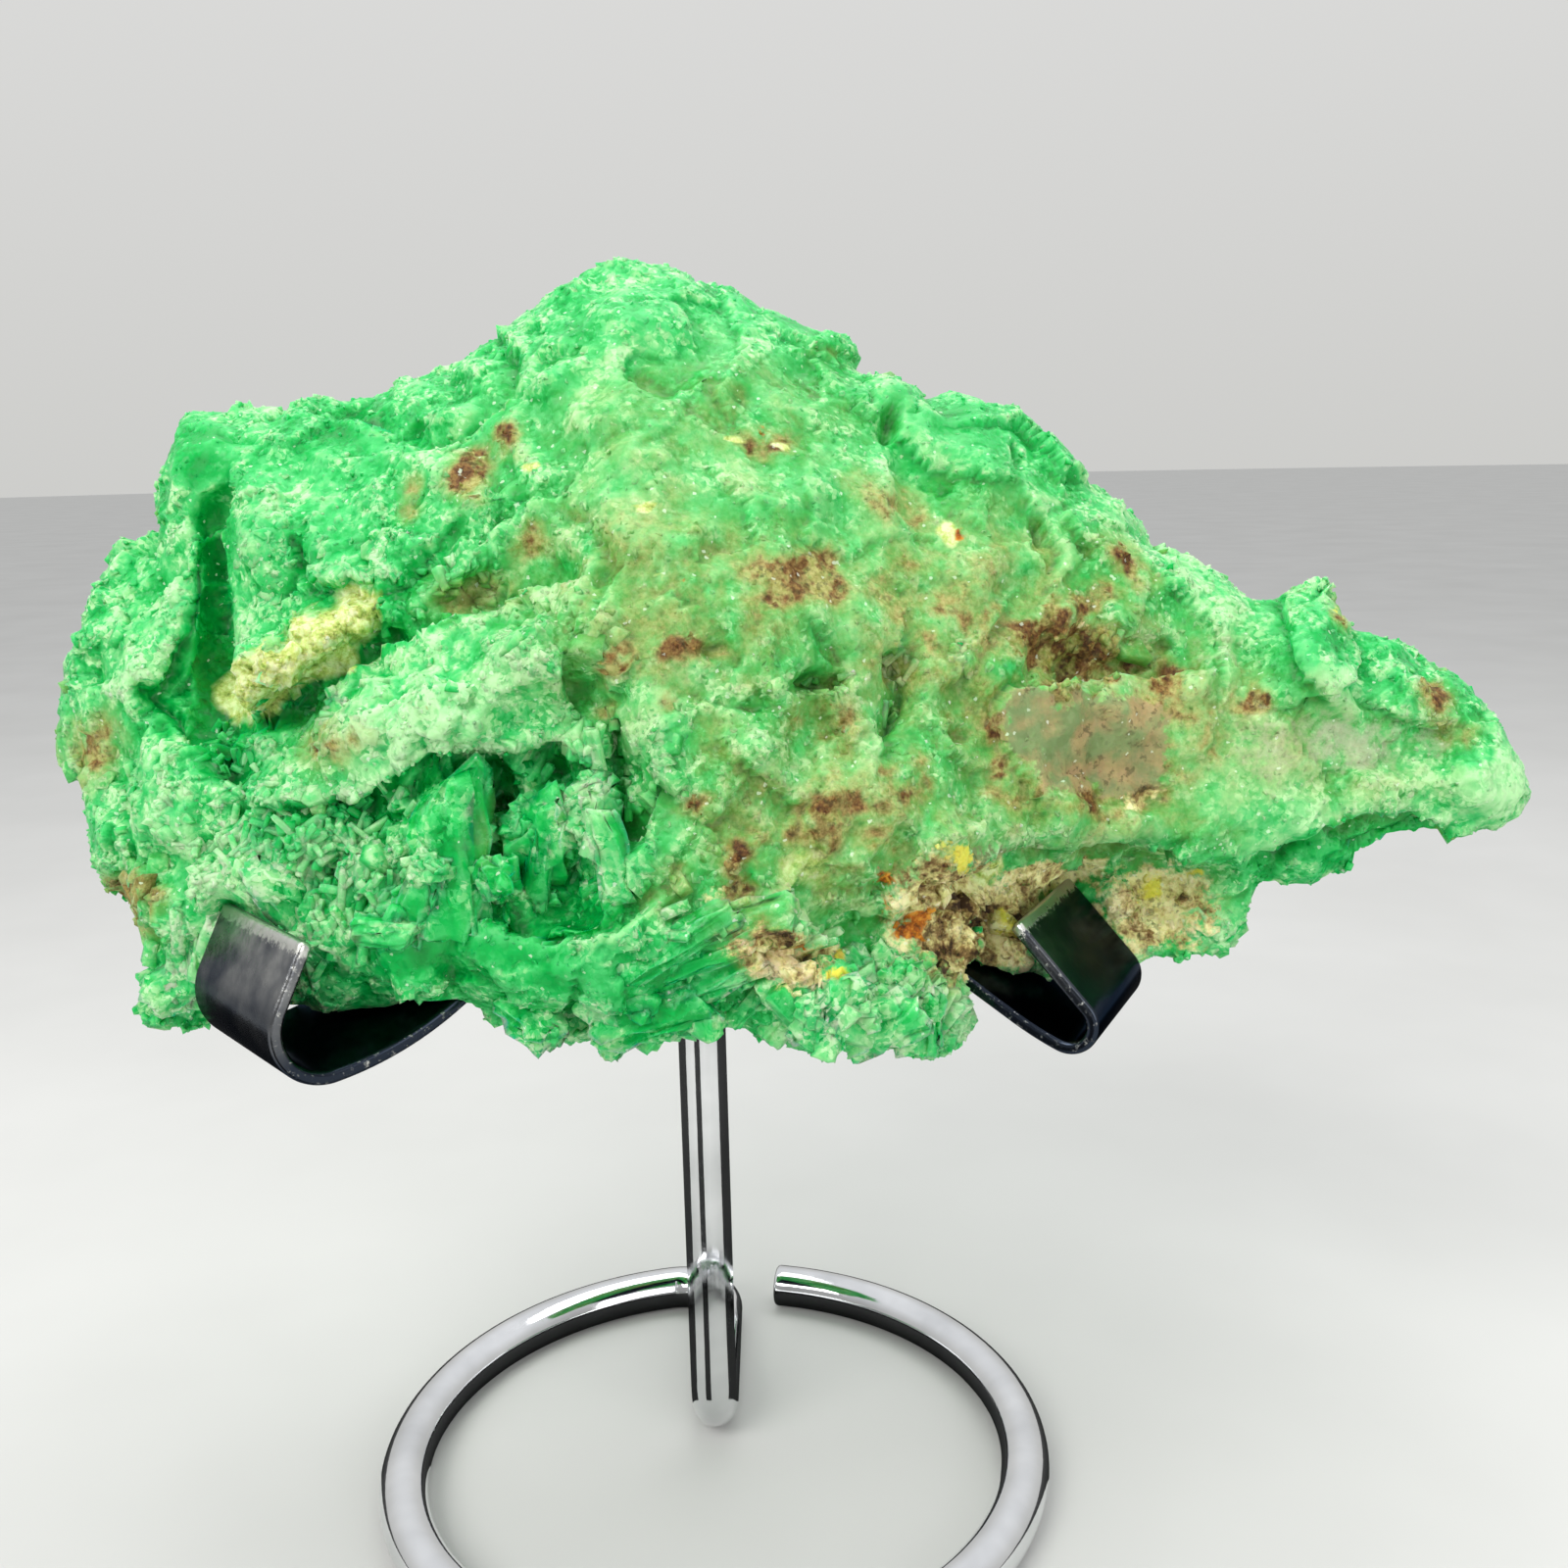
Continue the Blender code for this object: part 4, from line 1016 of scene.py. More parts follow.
# Deep darkens the green: in clear blades for their own colour, and in hollows as painted shade.
for label, weight in (("Mint", 0.3), ("Deep_and_shade", -0.3), ("Proud", 0.17), ("Tone", 0.13)):
    part = math_node(greens, 'MULTIPLY', into[label], weight)
    total = math_node(greens, 'ADD', total, part)
GREEN_RUN = ((0.0, colour(0, 114, 42)), (0.2, colour(0, 148, 58)), (0.4, colour(6, 176, 76)),
             (0.58, colour(68, 198, 108)), (0.76, colour(136, 214, 138)), (1.0, colour(186, 238, 174)))
greens.links.new(ramp(greens, total, GREEN_RUN), out["Color"])
greens.links.new(span(greens, total, 0.2, 0.9), out["Milk"])
print("greens run over", len(GREEN_RUN), "colours")

# %% [markdown]
# Iron, clay and sulphur-yellow crusts lie over the green. Each layer has its own breakup: a thin
# stain stays olive and only its heart turns rust brown, and the matrix is a mix of pale, tan and
# near-black grit. The group gives the covered colour and how dry the surface is, which the
# material turns into roughness.

# %% Group: mineral crusts, the stains and the matrix
LAYERS = ("Stain", "Matrix", "Plate", "Cream", "Sulphur", "Rust", "Dust")
crusts, into, out = new_group("mineral_crusts",
                              [("Color", COLOUR, None), ("Tone", NUMBER, 0.0)]
                              + [(label, NUMBER, 0.0) for label in LAYERS],
                              [("Color", COLOUR), ("Dry", NUMBER)])
where = add(crusts, "TexCoord").outputs["Object"]
tear = noise(crusts, where, 1.1, 5.0, 0.7)
grit = math_node(crusts, 'MULTIPLY_ADD', into["Tone"], 0.1)
crusts.links.new(noise(crusts, where, 0.5, 4.0, 0.7), grit.node.inputs[2])
patchy = noise(crusts, where, 3.2, 2.0, 0.5)


def torn(amount, softness):
    """A mask that noise has torn at its edge."""
    missing = math_node(crusts, 'SUBTRACT', 1.0, amount)
    return span(crusts, math_node(crusts, 'MULTIPLY_ADD', missing, -0.62, tear), 0.10, 0.10 + softness)


thin = math_node(crusts, 'MULTIPLY', into["Stain"], span(crusts, tear, 0.3, 0.6, 0.7, 1.5))
olive = blend_colours(crusts, span(crusts, grit, 0.35, 0.65), colour(134, 134, 58), colour(184, 182, 114))
shade = blend_colours(crusts, math_node(crusts, 'MULTIPLY', thin, 0.95, clamp=True), into["Color"], olive)
blots = noise(crusts, where, 1.8, 3.0, 0.55)
heart = math_node(crusts, 'MULTIPLY', span(crusts, into["Stain"], 0.6, 0.9),
                  span(crusts, blots, 0.4, 0.52))
brown = ramp(crusts, grit, ((0.34, colour(66, 38, 18)), (0.5, colour(112, 78, 38)),
                            (0.66, colour(150, 122, 66))))
shade = blend_colours(crusts, heart, shade, brown)
tan_part = math_node(crusts, 'MULTIPLY_ADD', into["Stain"], 0.6, patchy)
flat_share = span(crusts, math_node(crusts, 'MULTIPLY_ADD', grit, 0.4, tan_part), 0.95, 1.3)
flat_face = blend_colours(crusts, flat_share, colour(126, 142, 94), colour(172, 152, 106))
shade = blend_colours(crusts, math_node(crusts, 'MULTIPLY', torn(into["Plate"], 0.1), 0.88), shade, flat_face)
clods = math_node(crusts, 'MULTIPLY_ADD', noise(crusts, where, 3.0, 4.0, 0.65), 0.8,
                  math_node(crusts, 'MULTIPLY', grit, 0.24))
clods = math_node(crusts, 'MULTIPLY_ADD', into["Stain"], -0.12, clods)
earth = ramp(crusts, clods, ((0.34, colour(58, 40, 24)), (0.41, colour(140, 116, 68)),
                             (0.48, colour(212, 204, 134)), (0.56, colour(242, 240, 178))))
shade = blend_colours(crusts, math_node(crusts, 'MULTIPLY', torn(into["Matrix"], 0.16),
                                        span(crusts, into["Matrix"], 0.05, 0.4)), shade, earth)
print("stain, flat face and matrix take", len(crusts.nodes), "nodes")

# %% [markdown]
# The thinner crusts come next: chalky cream, yellow, rust and dust. Last come tiny dark pits painted in the
# gritty places, which are painted shade, and a few white glints painted in random cells, which are painted
# highlights.

# %% Group: mineral crusts, the thin ones, painted pits and painted glints
chalk = ramp(crusts, tear, ((0.34, colour(112, 138, 50)), (0.46, colour(188, 206, 108)),
                            (0.6, colour(226, 242, 176))))
shade = blend_colours(crusts, span(crusts, into["Cream"], 0.25, 0.5), shade, chalk)
yellow = blend_colours(crusts, grit, colour(206, 200, 40), colour(242, 240, 110))
shade = blend_colours(crusts, torn(into["Sulphur"], 0.2), shade, yellow)
orange = ramp(crusts, tear, ((0.38, colour(78, 36, 10)), (0.5, colour(176, 98, 20)),
                             (0.64, colour(226, 158, 56))))
shade = blend_colours(crusts, torn(into["Rust"], 0.2), shade, orange)
haze = blend_colours(crusts, grit, colour(150, 180, 136), colour(200, 206, 176))
shade = blend_colours(crusts, math_node(crusts, 'MULTIPLY', torn(into["Dust"], 0.3), 0.75), shade, haze)
gritty = span(crusts, math_node(crusts, 'MAXIMUM', into["Stain"], into["Matrix"]), 0.3, 0.9, 0.0, 0.55)
# Painted shade: dark pit spots in the gritty places, with no pits in the mesh.
pits = span(crusts, noise(crusts, where, 0.8, 3.0, 0.6), 0.56, 0.64)
pits = math_node(crusts, 'MULTIPLY', pits, gritty)
shade = blend_colours(crusts, pits, shade, colour(48, 50, 24))
# Painted highlights: white glints in a few random cells.
glints = span(crusts, cell_tone(crusts, where, 0.26), 0.994, 0.996, 0.0, 0.5)
shade = blend_colours(crusts, glints, shade, colour(236, 250, 228))
dryness = into["Matrix"]
for label in ("Stain", "Cream", "Sulphur", "Dust"):
    dryness = math_node(crusts, 'MAXIMUM', dryness, math_node(crusts, 'MULTIPLY', into[label], 0.8))
crusts.links.new(shade, out["Color"])
crusts.links.new(dryness, out["Dry"])
print("crusts:", ", ".join(LAYERS))

# %% [markdown]
# Below the size of a modelled grain the surface is still broken into flat, glinting faces. Cells
# of three sizes each tilt the normal by a random amount of their own, which a smooth bump can't
# do. A little noise goes on top as a height. How strong both are belongs to each material.

# %% Group: sugar relief
relief, into, out = new_group("sugar_relief",
                              [("Fine", NUMBER, 1.0), ("Coarse", NUMBER, 1.0), ("Waxy", NUMBER, 0.0)],
                              [("Height", NUMBER), ("Normal", "NodeSocketVector")])
where = add(relief, "TexCoord").outputs["Object"]
crooked = shaken(relief, where, 0.9, 0.35)
facing = add(relief, "NewGeometry").outputs["Normal"]
grainy = span(relief, noise(relief, where, *GRAINY_NOISE), *GRAINY_SPAN, 0.3, 1.1)
grainy = math_node(relief, 'MULTIPLY', grainy, span(relief, into["Waxy"], 0.2, 0.8, 1.0, 0.4))
amounts = {"Coarse": into["Coarse"], "Fine": math_node(relief, 'MULTIPLY', into["Fine"], grainy)}
for size, share, label in ((2.4, 0.22, "Coarse"), (0.9, 0.36, "Coarse"), (0.4, 0.5, "Fine")):
    spread = vector_math(relief, 'SUBTRACT', cells(relief, crooked, size), (0.5, 0.5, 0.5))
    amount = math_node(relief, 'MULTIPLY', amounts[label], share)
    tilt = add(relief, "VectorMath", {0: spread, "Scale": amount}, operation='SCALE').outputs[0]
    facing = vector_math(relief, 'ADD', facing, tilt)
relief.links.new(add(relief, "VectorMath", {0: facing}, operation='NORMALIZE').outputs[0], out["Normal"])
fine_height = math_node(relief, 'MULTIPLY', noise(relief, where, 0.3, 4.0, 0.65), amounts["Fine"])
relief.links.new(fine_height, out["Height"])
print("relief:", len(relief.nodes), "nodes")

# %% [markdown]
# Emerald of this kind is waxy: light enters it, scatters and comes out a little way off. A low
# subsurface weight does that and keeps the grain crisp. The skin and the grains are dull to
# silky, and the clear crystals are smoother, deeper in colour and let a little light through.

# %% Material: rough emerald
LIGHT_REACH = (0.35, 1.0, 0.45)


def emerald(name, level, mottle, roughness, bump, subsurface, fine=1.0, coarse=1.0, gloss=0.35, reach=1.4):
    """One emerald finish, from the shared groups and its own values."""
    made, tree, shader = new_material(name)
    green = use_group(tree, greens, {"Level": level, "Mint": mask(tree, "mint"),
                                     "Deep_and_shade": mask(tree, "deep"), "Proud": mask(tree, "proud"),
                                     "Tone": mask(tree, "tone"), "Mottle": mottle,
                                     "Waxy": mask(tree, "waxy")})
    covered = use_group(tree, crusts, {"Color": green["Color"], "Tone": mask(tree, "tone"),
                                       **{label: mask(tree, label.lower()) for label in LAYERS}})
    broken = use_group(tree, relief, {"Fine": fine, "Coarse": coarse, "Waxy": mask(tree, "waxy")})
    tree.links.new(covered["Color"], shader.inputs["Base Color"])
    low, high = roughness
    shine = math_node(tree, 'MULTIPLY_ADD', green["Milk"], 0.5 * (high - low))
    tree.links.new(span(tree, covered["Dry"], 0.0, 1.0, low, high), shine.node.inputs[2])
    tree.links.new(shine, shader.inputs["Roughness"])
    raised = add(tree, "Bump", {"Strength": bump, "Distance": 0.3 * MM, "Height": broken["Height"],
                                "Normal": broken["Normal"]})
    tree.links.new(raised.outputs["Normal"], shader.inputs["Normal"])
    shader.inputs["Subsurface Weight"].default_value = subsurface
    shader.inputs["Subsurface Radius"].default_value = LIGHT_REACH
    shader.inputs["Subsurface Scale"].default_value = reach * MM
    shader.inputs["IOR"].default_value = 1.57
    shader.inputs["Specular IOR Level"].default_value = gloss
    return made


sugary = emerald("sugary_emerald", 0.48, 1.0, (0.26, 0.66), 0.3, 0.4, gloss=0.22, reach=1.6)
loose_grain = emerald("loose_grain", 0.52, 0.8, (0.26, 0.78), 0.25, 0.3, 0.7, 0.35, 0.16, 1.6)
clear_crystal = emerald("clear_crystal", 0.55, 1.1, (0.2, 0.6), 0.25, 0.6, 0.4, 0.35, 0.22, 3.0)
milky_needle = emerald("milky_needle", 0.58, 0.9, (0.24, 0.64), 0.2, 0.45, 0.4, 0.3, 0.2, 2.0)
print("emerald finishes:", sugary.name, loose_grain.name, clear_crystal.name, milky_needle.name)

# %% [markdown]
# The skin is now stored with its masks. It stands for the stone's solid and rides on the part's only body.

# %% Make the skin
skin = store("emerald_skin", skin_points, skin_triangles, sugary, flat=False)
write_masks(skin, {**skin_masks, "proud": proud, "tone": skin_tone})
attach(skin, "root")
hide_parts("emerald_specimen")
skin_tree = tree_of(skin_points, skin_triangles)
print("skin:", len(skin_triangles), "triangles")

# %% [markdown]
# ## Crystals
# Here and there the mass has grown clear six-sided prisms. None of them is perfect: the sides are uneven, the
# end is broken off at a slant, and the edges are painted a pale frost, which stands for bruising and is
# partly a painted edge highlight. So a crystal is a small grid of points round a hexagon, pushed about by
# noise, which also remembers how near to an edge each point lies. First its place is found, by a ray from the
# eye to the skin, and then the way it points.

# %% Where a crystal stands and how it points
def on_skin(x, w):
    """The point where the eye's ray through (x, w) meets the skin, or None."""
    aim = Vector(placed(x, w, 0.0) - EYE)
    hit = skin_tree.ray_cast(Vector(EYE), aim.normalized())
    return None if hit[0] is None else np.array(hit[0])


def crystal_axes(turn, tilt):
    """Across, thickness and long axis of a crystal that is turned in the face and tilted out."""
    flat = math.cos(math.radians(turn)) * RIGHT + math.sin(math.radians(turn)) * UP
    axis = math.cos(math.radians(tilt)) * flat + math.sin(math.radians(tilt)) * TO_EYE
    across = np.cross(axis, TO_EYE)
    across /= np.linalg.norm(across)
    return across, np.cross(across, axis), axis


print("the skin at the middle of the face, in mm:", on_skin(FACE_MIDDLE[0], 0.0).round(1))

# %% [markdown]
# A prism has six corners of uneven strength, a taper, and ends that slope. Large ones get more points along
# each side, so that the noise can make their edges ragged. The points near a corner or an end get an edge
# value, which turns to pale frost in the colours: bruising, and a painted edge highlight.

# %% Build one prism
CRYSTAL_TAPER = 0.86
HEXAGON = math.radians(60)
SHAKEN_SHARE = 0.09
WORN_END = 0.12


def prism(middle, axes, length, radius, flatness, draw, taper=CRYSTAL_TAPER, steps=(2, 2)):
    """Points, triangles and edge values of one ragged prism."""
    side_steps, rows = steps
    count = 6 * side_steps
    angles = 2 * math.pi * np.arange(count) / count
    to_corner = np.abs((angles % HEXAGON) / HEXAGON - 0.5) * 2
    hexagon = math.cos(HEXAGON / 2) / np.cos((angles % HEXAGON) - HEXAGON / 2)
    corner = np.repeat(draw.uniform(0.86, 1.12, 6), side_steps)
    slope = draw.uniform(-0.6, 0.6, 2) * radius / length
    ends = np.array([0.0] + list(np.linspace(0.06, 0.94, rows)) + [1.0])
    width = radius * (1 - (1 - taper) * ends)
    width[[0, -1]] -= WORN_END * radius
    across = width[:, None] * (hexagon * corner * np.cos(angles))
    over = width[:, None] * flatness * (hexagon * corner * np.sin(angles))
    tilt = 1 + np.where(ends > 0.5, 1, 0)[:, None] * (slope[0] * across + slope[1] * over)
    along = (ends[:, None] - 0.5) * length * tilt
    grid = np.stack((across, over, along), axis=-1).reshape(-1, 3)
    caps = np.array(((0, 0, -0.5 * length), (0, 0, along[-1].mean())))
    points = np.concatenate((grid, caps))
    shake = SHAKEN_SHARE * radius * draw.normal(size=points.shape)
    points = np.asarray(middle) + (points + shake) @ np.array(axes)
    near_end = np.minimum(ends, 1 - ends) < 0.1
    edge = np.maximum(to_corner[None] ** 3, near_end[:, None]).ravel()
    return points, tube_faces(len(ends), count), np.concatenate((edge, (0.0, 0.0)))


print("a hexagon's corner turns by", round(math.degrees(HEXAGON)), "degrees")

# %% [markdown]
# All crystals of one finish are one piece. They are painted by their place, like the skin that
# they grow from, and each one gets a tone of its own.

# %% Join crystals to one piece
def finish_crystals(name, made_prisms, finish, tone_spread):
    """Join prisms to one piece and paint it by the place of each point."""
    starts = np.cumsum([0] + [len(points) for points, _, _ in made_prisms])
    points = np.concatenate([points for points, _, _ in made_prisms])
    faces = np.concatenate([faces + start for (_, faces, _), start in zip(made_prisms, starts)])
    edge = np.concatenate([edge for _, _, edge in made_prisms])
    made = store(name, points, faces, finish)
    masks = paint(points, np.ones(len(points)))
    own = np.random.RandomState(len(starts)).uniform(-1, 1, len(made_prisms))
    own = np.repeat(own, np.diff(starts)) * tone_spread + 0.4 * cloud(points, 4.0, 77)
    # Corners and ends are painted paler through proud: bruising, and a painted edge highlight.
    write_masks(made, {**masks, "proud": 0.8 * edge - 0.3, "tone": own})
    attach(made, "root")
    print(name, len(faces), "triangles")

# %% [markdown]
# These are the crystals listed one by one, and most repeat the ones of the solid. A list entry is the middle
# as seen, the turn in the face, the tilt to the eye, the length and the radius.

# %% List the named crystals
NAMED_CRYSTALS = (
    ((-4.5, -20.6), 12, 8, 9.5, 3.4),
    ((-15.2, -21.2), -50, 5, 5.5, 2.2),
    ((0.5, -18.4), 22, 12, 12.0, 2.0),
    ((-1.5, -14.6), 28, 8, 11.0, 1.7),
    ((4.6, -13.0), 12, 10, 9.0, 1.9),
    ((9.4, -18.4), -42, 10, 11.0, 1.6),
    ((12.6, -21.6), 66, 16, 6.5, 2.6),
    ((17.4, -22.4), 20, 12, 7.0, 2.8),
    ((21.2, -22.4), 84, 18, 6.0, 2.4),
    ((15.4, -18.6), -60, 22, 6.0, 1.9),
    ((-22.7, -6.4), 87, 3, 13.0, 3.7),
    ((-25.6, -10.0), 68, 10, 7.5, 2.2),
    ((-18.7, -8.2), 40, 60, 4.6, 2.1),
    ((-14.0, -5.6), 78, 14, 9.0, 1.2),
    ((-11.0, -3.0), 30, 28, 8.0, 3.1),
    ((-7.6, -6.4), 100, 18, 8.0, 1.7),
    ((-31.0, -9.0), 80, 24, 7.0, 2.4),
    ((-44.8, -14.4), 65, 20, 6.5, 2.3),
    ((-48.4, -17.6), 30, 8, 6.0, 2.1),
    ((-38.0, -9.5), 120, 25, 6.5, 2.4),
)
MILKY_CRYSTALS = (
    ((-13.7, -4.8), 40, 30, 6.0, 3.0),
    ((-11.6, -2.4), -20, 24, 4.6, 2.2),
    ((-13.9, -7.3), 84, 8, 7.6, 0.6),
    ((-23.4, -11.4), 55, 16, 6.4, 1.3),
    ((-20.2, -10.6), 10, 30, 2.6, 1.3),
    ((-13.8, -10.2), 5, 20, 2.8, 0.9),
    ((-2.0, -19.4), 14, 10, 12.7, 0.9),
    ((0.4, -16.6), 18, 12, 9.0, 1.0),
    ((8.7, -18.6), -41, 12, 7.6, 0.9),
    ((-30.6, -7.4), 82, 20, 3.4, 1.0),
    ((-29.0, -13.0), -10, 16, 5.2, 1.4),
    ((-9.4, -8.2), 95, 20, 5.0, 1.1),
    ((5.2, -20.2), 48, 20, 5.6, 1.0),
    ((13.4, -19.4), 80, 24, 5.0, 1.5),
    ((19.0, -19.4), 60, 20, 5.4, 1.7),
)
print(len(NAMED_CRYSTALS), "clear and", len(MILKY_CRYSTALS), "milky crystals have a place of their own")

# %% [markdown]
# Each is flattened and sunk into the skin by a share of its radius, so that it grows out of the
# mass and doesn't lie on it.

# %% Make the named crystals
CRYSTAL_FLATNESS = 0.5
CRYSTAL_STEPS = (4, 6)
PROUD_OF_SKIN = 0.15
SUNK_SHARE = 0.25


def placed_crystals(name, marks, finish, draw):
    """The crystals of a list as one piece."""
    made_prisms = []
    for (x, w), turn, tilt, length, radius in marks:
        front_point = on_skin(x, w)
        if front_point is not None:
            middle = front_point + (PROUD_OF_SKIN - SUNK_SHARE * radius) * TO_EYE
            axes = crystal_axes(turn, tilt)
            made_prisms.append(prism(middle, axes, length, radius, CRYSTAL_FLATNESS, draw,
                                     steps=CRYSTAL_STEPS))
    finish_crystals(name, made_prisms, finish, 0.6)


draw = np.random.RandomState(5)
placed_crystals("named_crystals", NAMED_CRYSTALS, clear_crystal, draw)
placed_crystals("milky_crystals", MILKY_CRYSTALS, milky_needle, draw)

# %% [markdown]
# Between the large crystals grow hundreds of small ones. They are strewn by zones: a zone is a
# patch on the face with a count, a range of lengths, a range of radii, a main direction and how
# far the directions scatter about it. Needles in the lower left lie in all directions, blades on
# the rim point along it.

# %% Strew small crystals by zones
SMALL_CRYSTALS = (
    ((-14.5, -4.5), (8.5, 6.5), 34, (1.6, 4.0), (0.3, 0.9), 80, 50, clear_crystal),
    ((-25.0, -11.0), (6.0, 2.6), 14, (2.0, 4.0), (0.4, 1.0), 60, 50, clear_crystal),
    ((-37.0, -8.5), (9.5, 7.5), 220, (2.0, 4.6), (0.28, 0.5), 70, 90, milky_needle),
    ((-44.0, 0.0), (6.0, 6.0), 40, (1.2, 2.6), (0.24, 0.45), 90, 90, milky_needle),
    ((-28.0, -4.0), (7.0, 5.0), 60, (1.4, 3.0), (0.26, 0.5), 70, 60, milky_needle),
    ((4.0, -14.5), (9.0, 4.0), 16, (2.6, 6.0), (0.3, 0.7), 20, 26, clear_crystal),
    ((-6.0, -21.5), (8.0, 2.0), 14, (2.0, 5.0), (0.7, 1.6), 10, 50, clear_crystal),
    ((16.0, -20.5), (9.0, 3.6), 80, (1.8, 4.6), (0.5, 1.4), 70, 60, milky_needle),
    ((-46.0, -15.5), (5.0, 4.0), 30, (2.0, 4.5), (0.5, 1.2), 50, 60, clear_crystal),
    ((-8.0, 2.0), (3.6, 5.0), 24, (1.6, 4.0), (0.3, 0.7), 95, 30, milky_needle),
    ((-22.0, 19.0), (5.0, 3.0), 30, (1.0, 2.2), (0.3, 0.6), 0, 90, milky_needle),
    ((19.6, 8.4), (1.8, 3.6), 16, (1.0, 2.4), (0.3, 0.7), 80, 50, clear_crystal),
    ((13.0, 9.6), (2.2, 1.4), 8, (0.8, 1.8), (0.3, 0.6), 20, 60, clear_crystal),
    ((27.0, 11.0), (2.4, 2.6), 12, (0.8, 1.8), (0.3, 0.6), 60, 60, milky_needle),
    ((-35.0, 8.0), (4.0, 1.6), 16, (0.8, 2.0), (0.3, 0.6), 20, 60, clear_crystal),
    ((-43.0, 4.0), (2.2, 2.4), 18, (0.8, 2.2), (0.2, 0.4), 80, 90, milky_needle),
)
CRYSTAL_CLEARANCE = 1.2


def small_crystals(name, finish, draw):
    """All zones of one finish as one piece."""
    made_prisms = []
    for middle, radii, count, lengths, widths, main, scatter_angle, kind in SMALL_CRYSTALS:
        if kind is not finish:
            continue
        for _ in range(count):
            way, out = draw.uniform(0, 2 * math.pi), math.sqrt(draw.uniform())
            place = (middle[0] + radii[0] * out * math.cos(way), middle[1] + radii[1] * out * math.sin(way))
            front_point = on_skin(*place)
            if front_point is None:
                continue
            radius = draw.uniform(*widths)
            length = draw.uniform(*lengths) * (0.7 + 0.5 * radius / widths[1])
            turn = main + draw.normal() * 0.6 * scatter_angle
            axes = crystal_axes(turn, draw.uniform(-5, 36))
            flatness = draw.uniform(0.5, 0.9)
            seat = front_point - (flatness * radius * draw.uniform(0.1, 0.9) + 0.1) * TO_EYE
            ends = [seat + side * 0.5 * length * axes[2] for side in (-1, 1)]
            if metal_distance(np.array(ends + [seat])).min() > CRYSTAL_CLEARANCE + radius:
                taper = draw.uniform(0.7, 1.0)
                made_prisms.append(prism(seat, axes, length, radius, flatness, draw, taper))
    finish_crystals(name, made_prisms, finish, 1.0)


draw = np.random.RandomState(8)
small_crystals("clear_crystals", clear_crystal, draw)
small_crystals("milky_needles", milky_needle, draw)

# %% [markdown]
# ## Chips and grains
# Close up, the mass is a heap of broken grains, each with flat faces and sharp, bruised edges. An
# even grid can't hold such edges, so the grains are real: thousands of small closed chips, half
# sunk in the skin. First their places are drawn at random on the skin's triangles, more of them
# where a weight is high.

# %% Scatter places over the skin
def scatter(count, weight, draw):
    """Random points on the skin, more of them where the weight of a triangle is high."""
    share = facet_areas * weight
    chosen = draw.choice(len(share), count, p=share / share.sum())
    a, b = draw.uniform(size=(2, count))
    outside = a + b > 1
    a[outside], b[outside] = 1 - a[outside], 1 - b[outside]
    corners = skin_points[skin_triangles[chosen]]
    points = corners[:, 0] + a[:, None] * (corners[:, 1] - corners[:, 0])
    return points + b[:, None] * (corners[:, 2] - corners[:, 0]), chosen


def unit(vectors):
    """Vectors of length one."""
    return vectors / np.maximum(np.linalg.norm(vectors, axis=-1, keepdims=True), 1e-9)


print("the skin's area:", round(float(facet_areas.sum()) / 100), "square centimetres")

# %% [markdown]
# A chip is a five-cornered base, a smaller tilted top and a point in the middle of that top.
# All chips of a heap are worked out at once, as one array of points, because a loop over
# thousands of them would be slow.

# %% Heaps of chips
CHIP_CORNERS = 5
FULL_TURN = 6.28


def chip_faces(count):
    """Triangles of many chips whose points follow each other."""
    corners = CHIP_CORNERS
    one = []
    for k in range(corners):
        after = (k + 1) % corners
        one += [(k, after, corners + after), (k, corners + after, corners + k)]
        one.append((corners + k, corners + after, 2 * corners))
    one += [(0, k + 1, k) for k in range(1, corners - 1)]
    step = 2 * corners + 1
    return (np.array(one)[None] + step * np.arange(count)[:, None, None]).reshape(-1, 3)


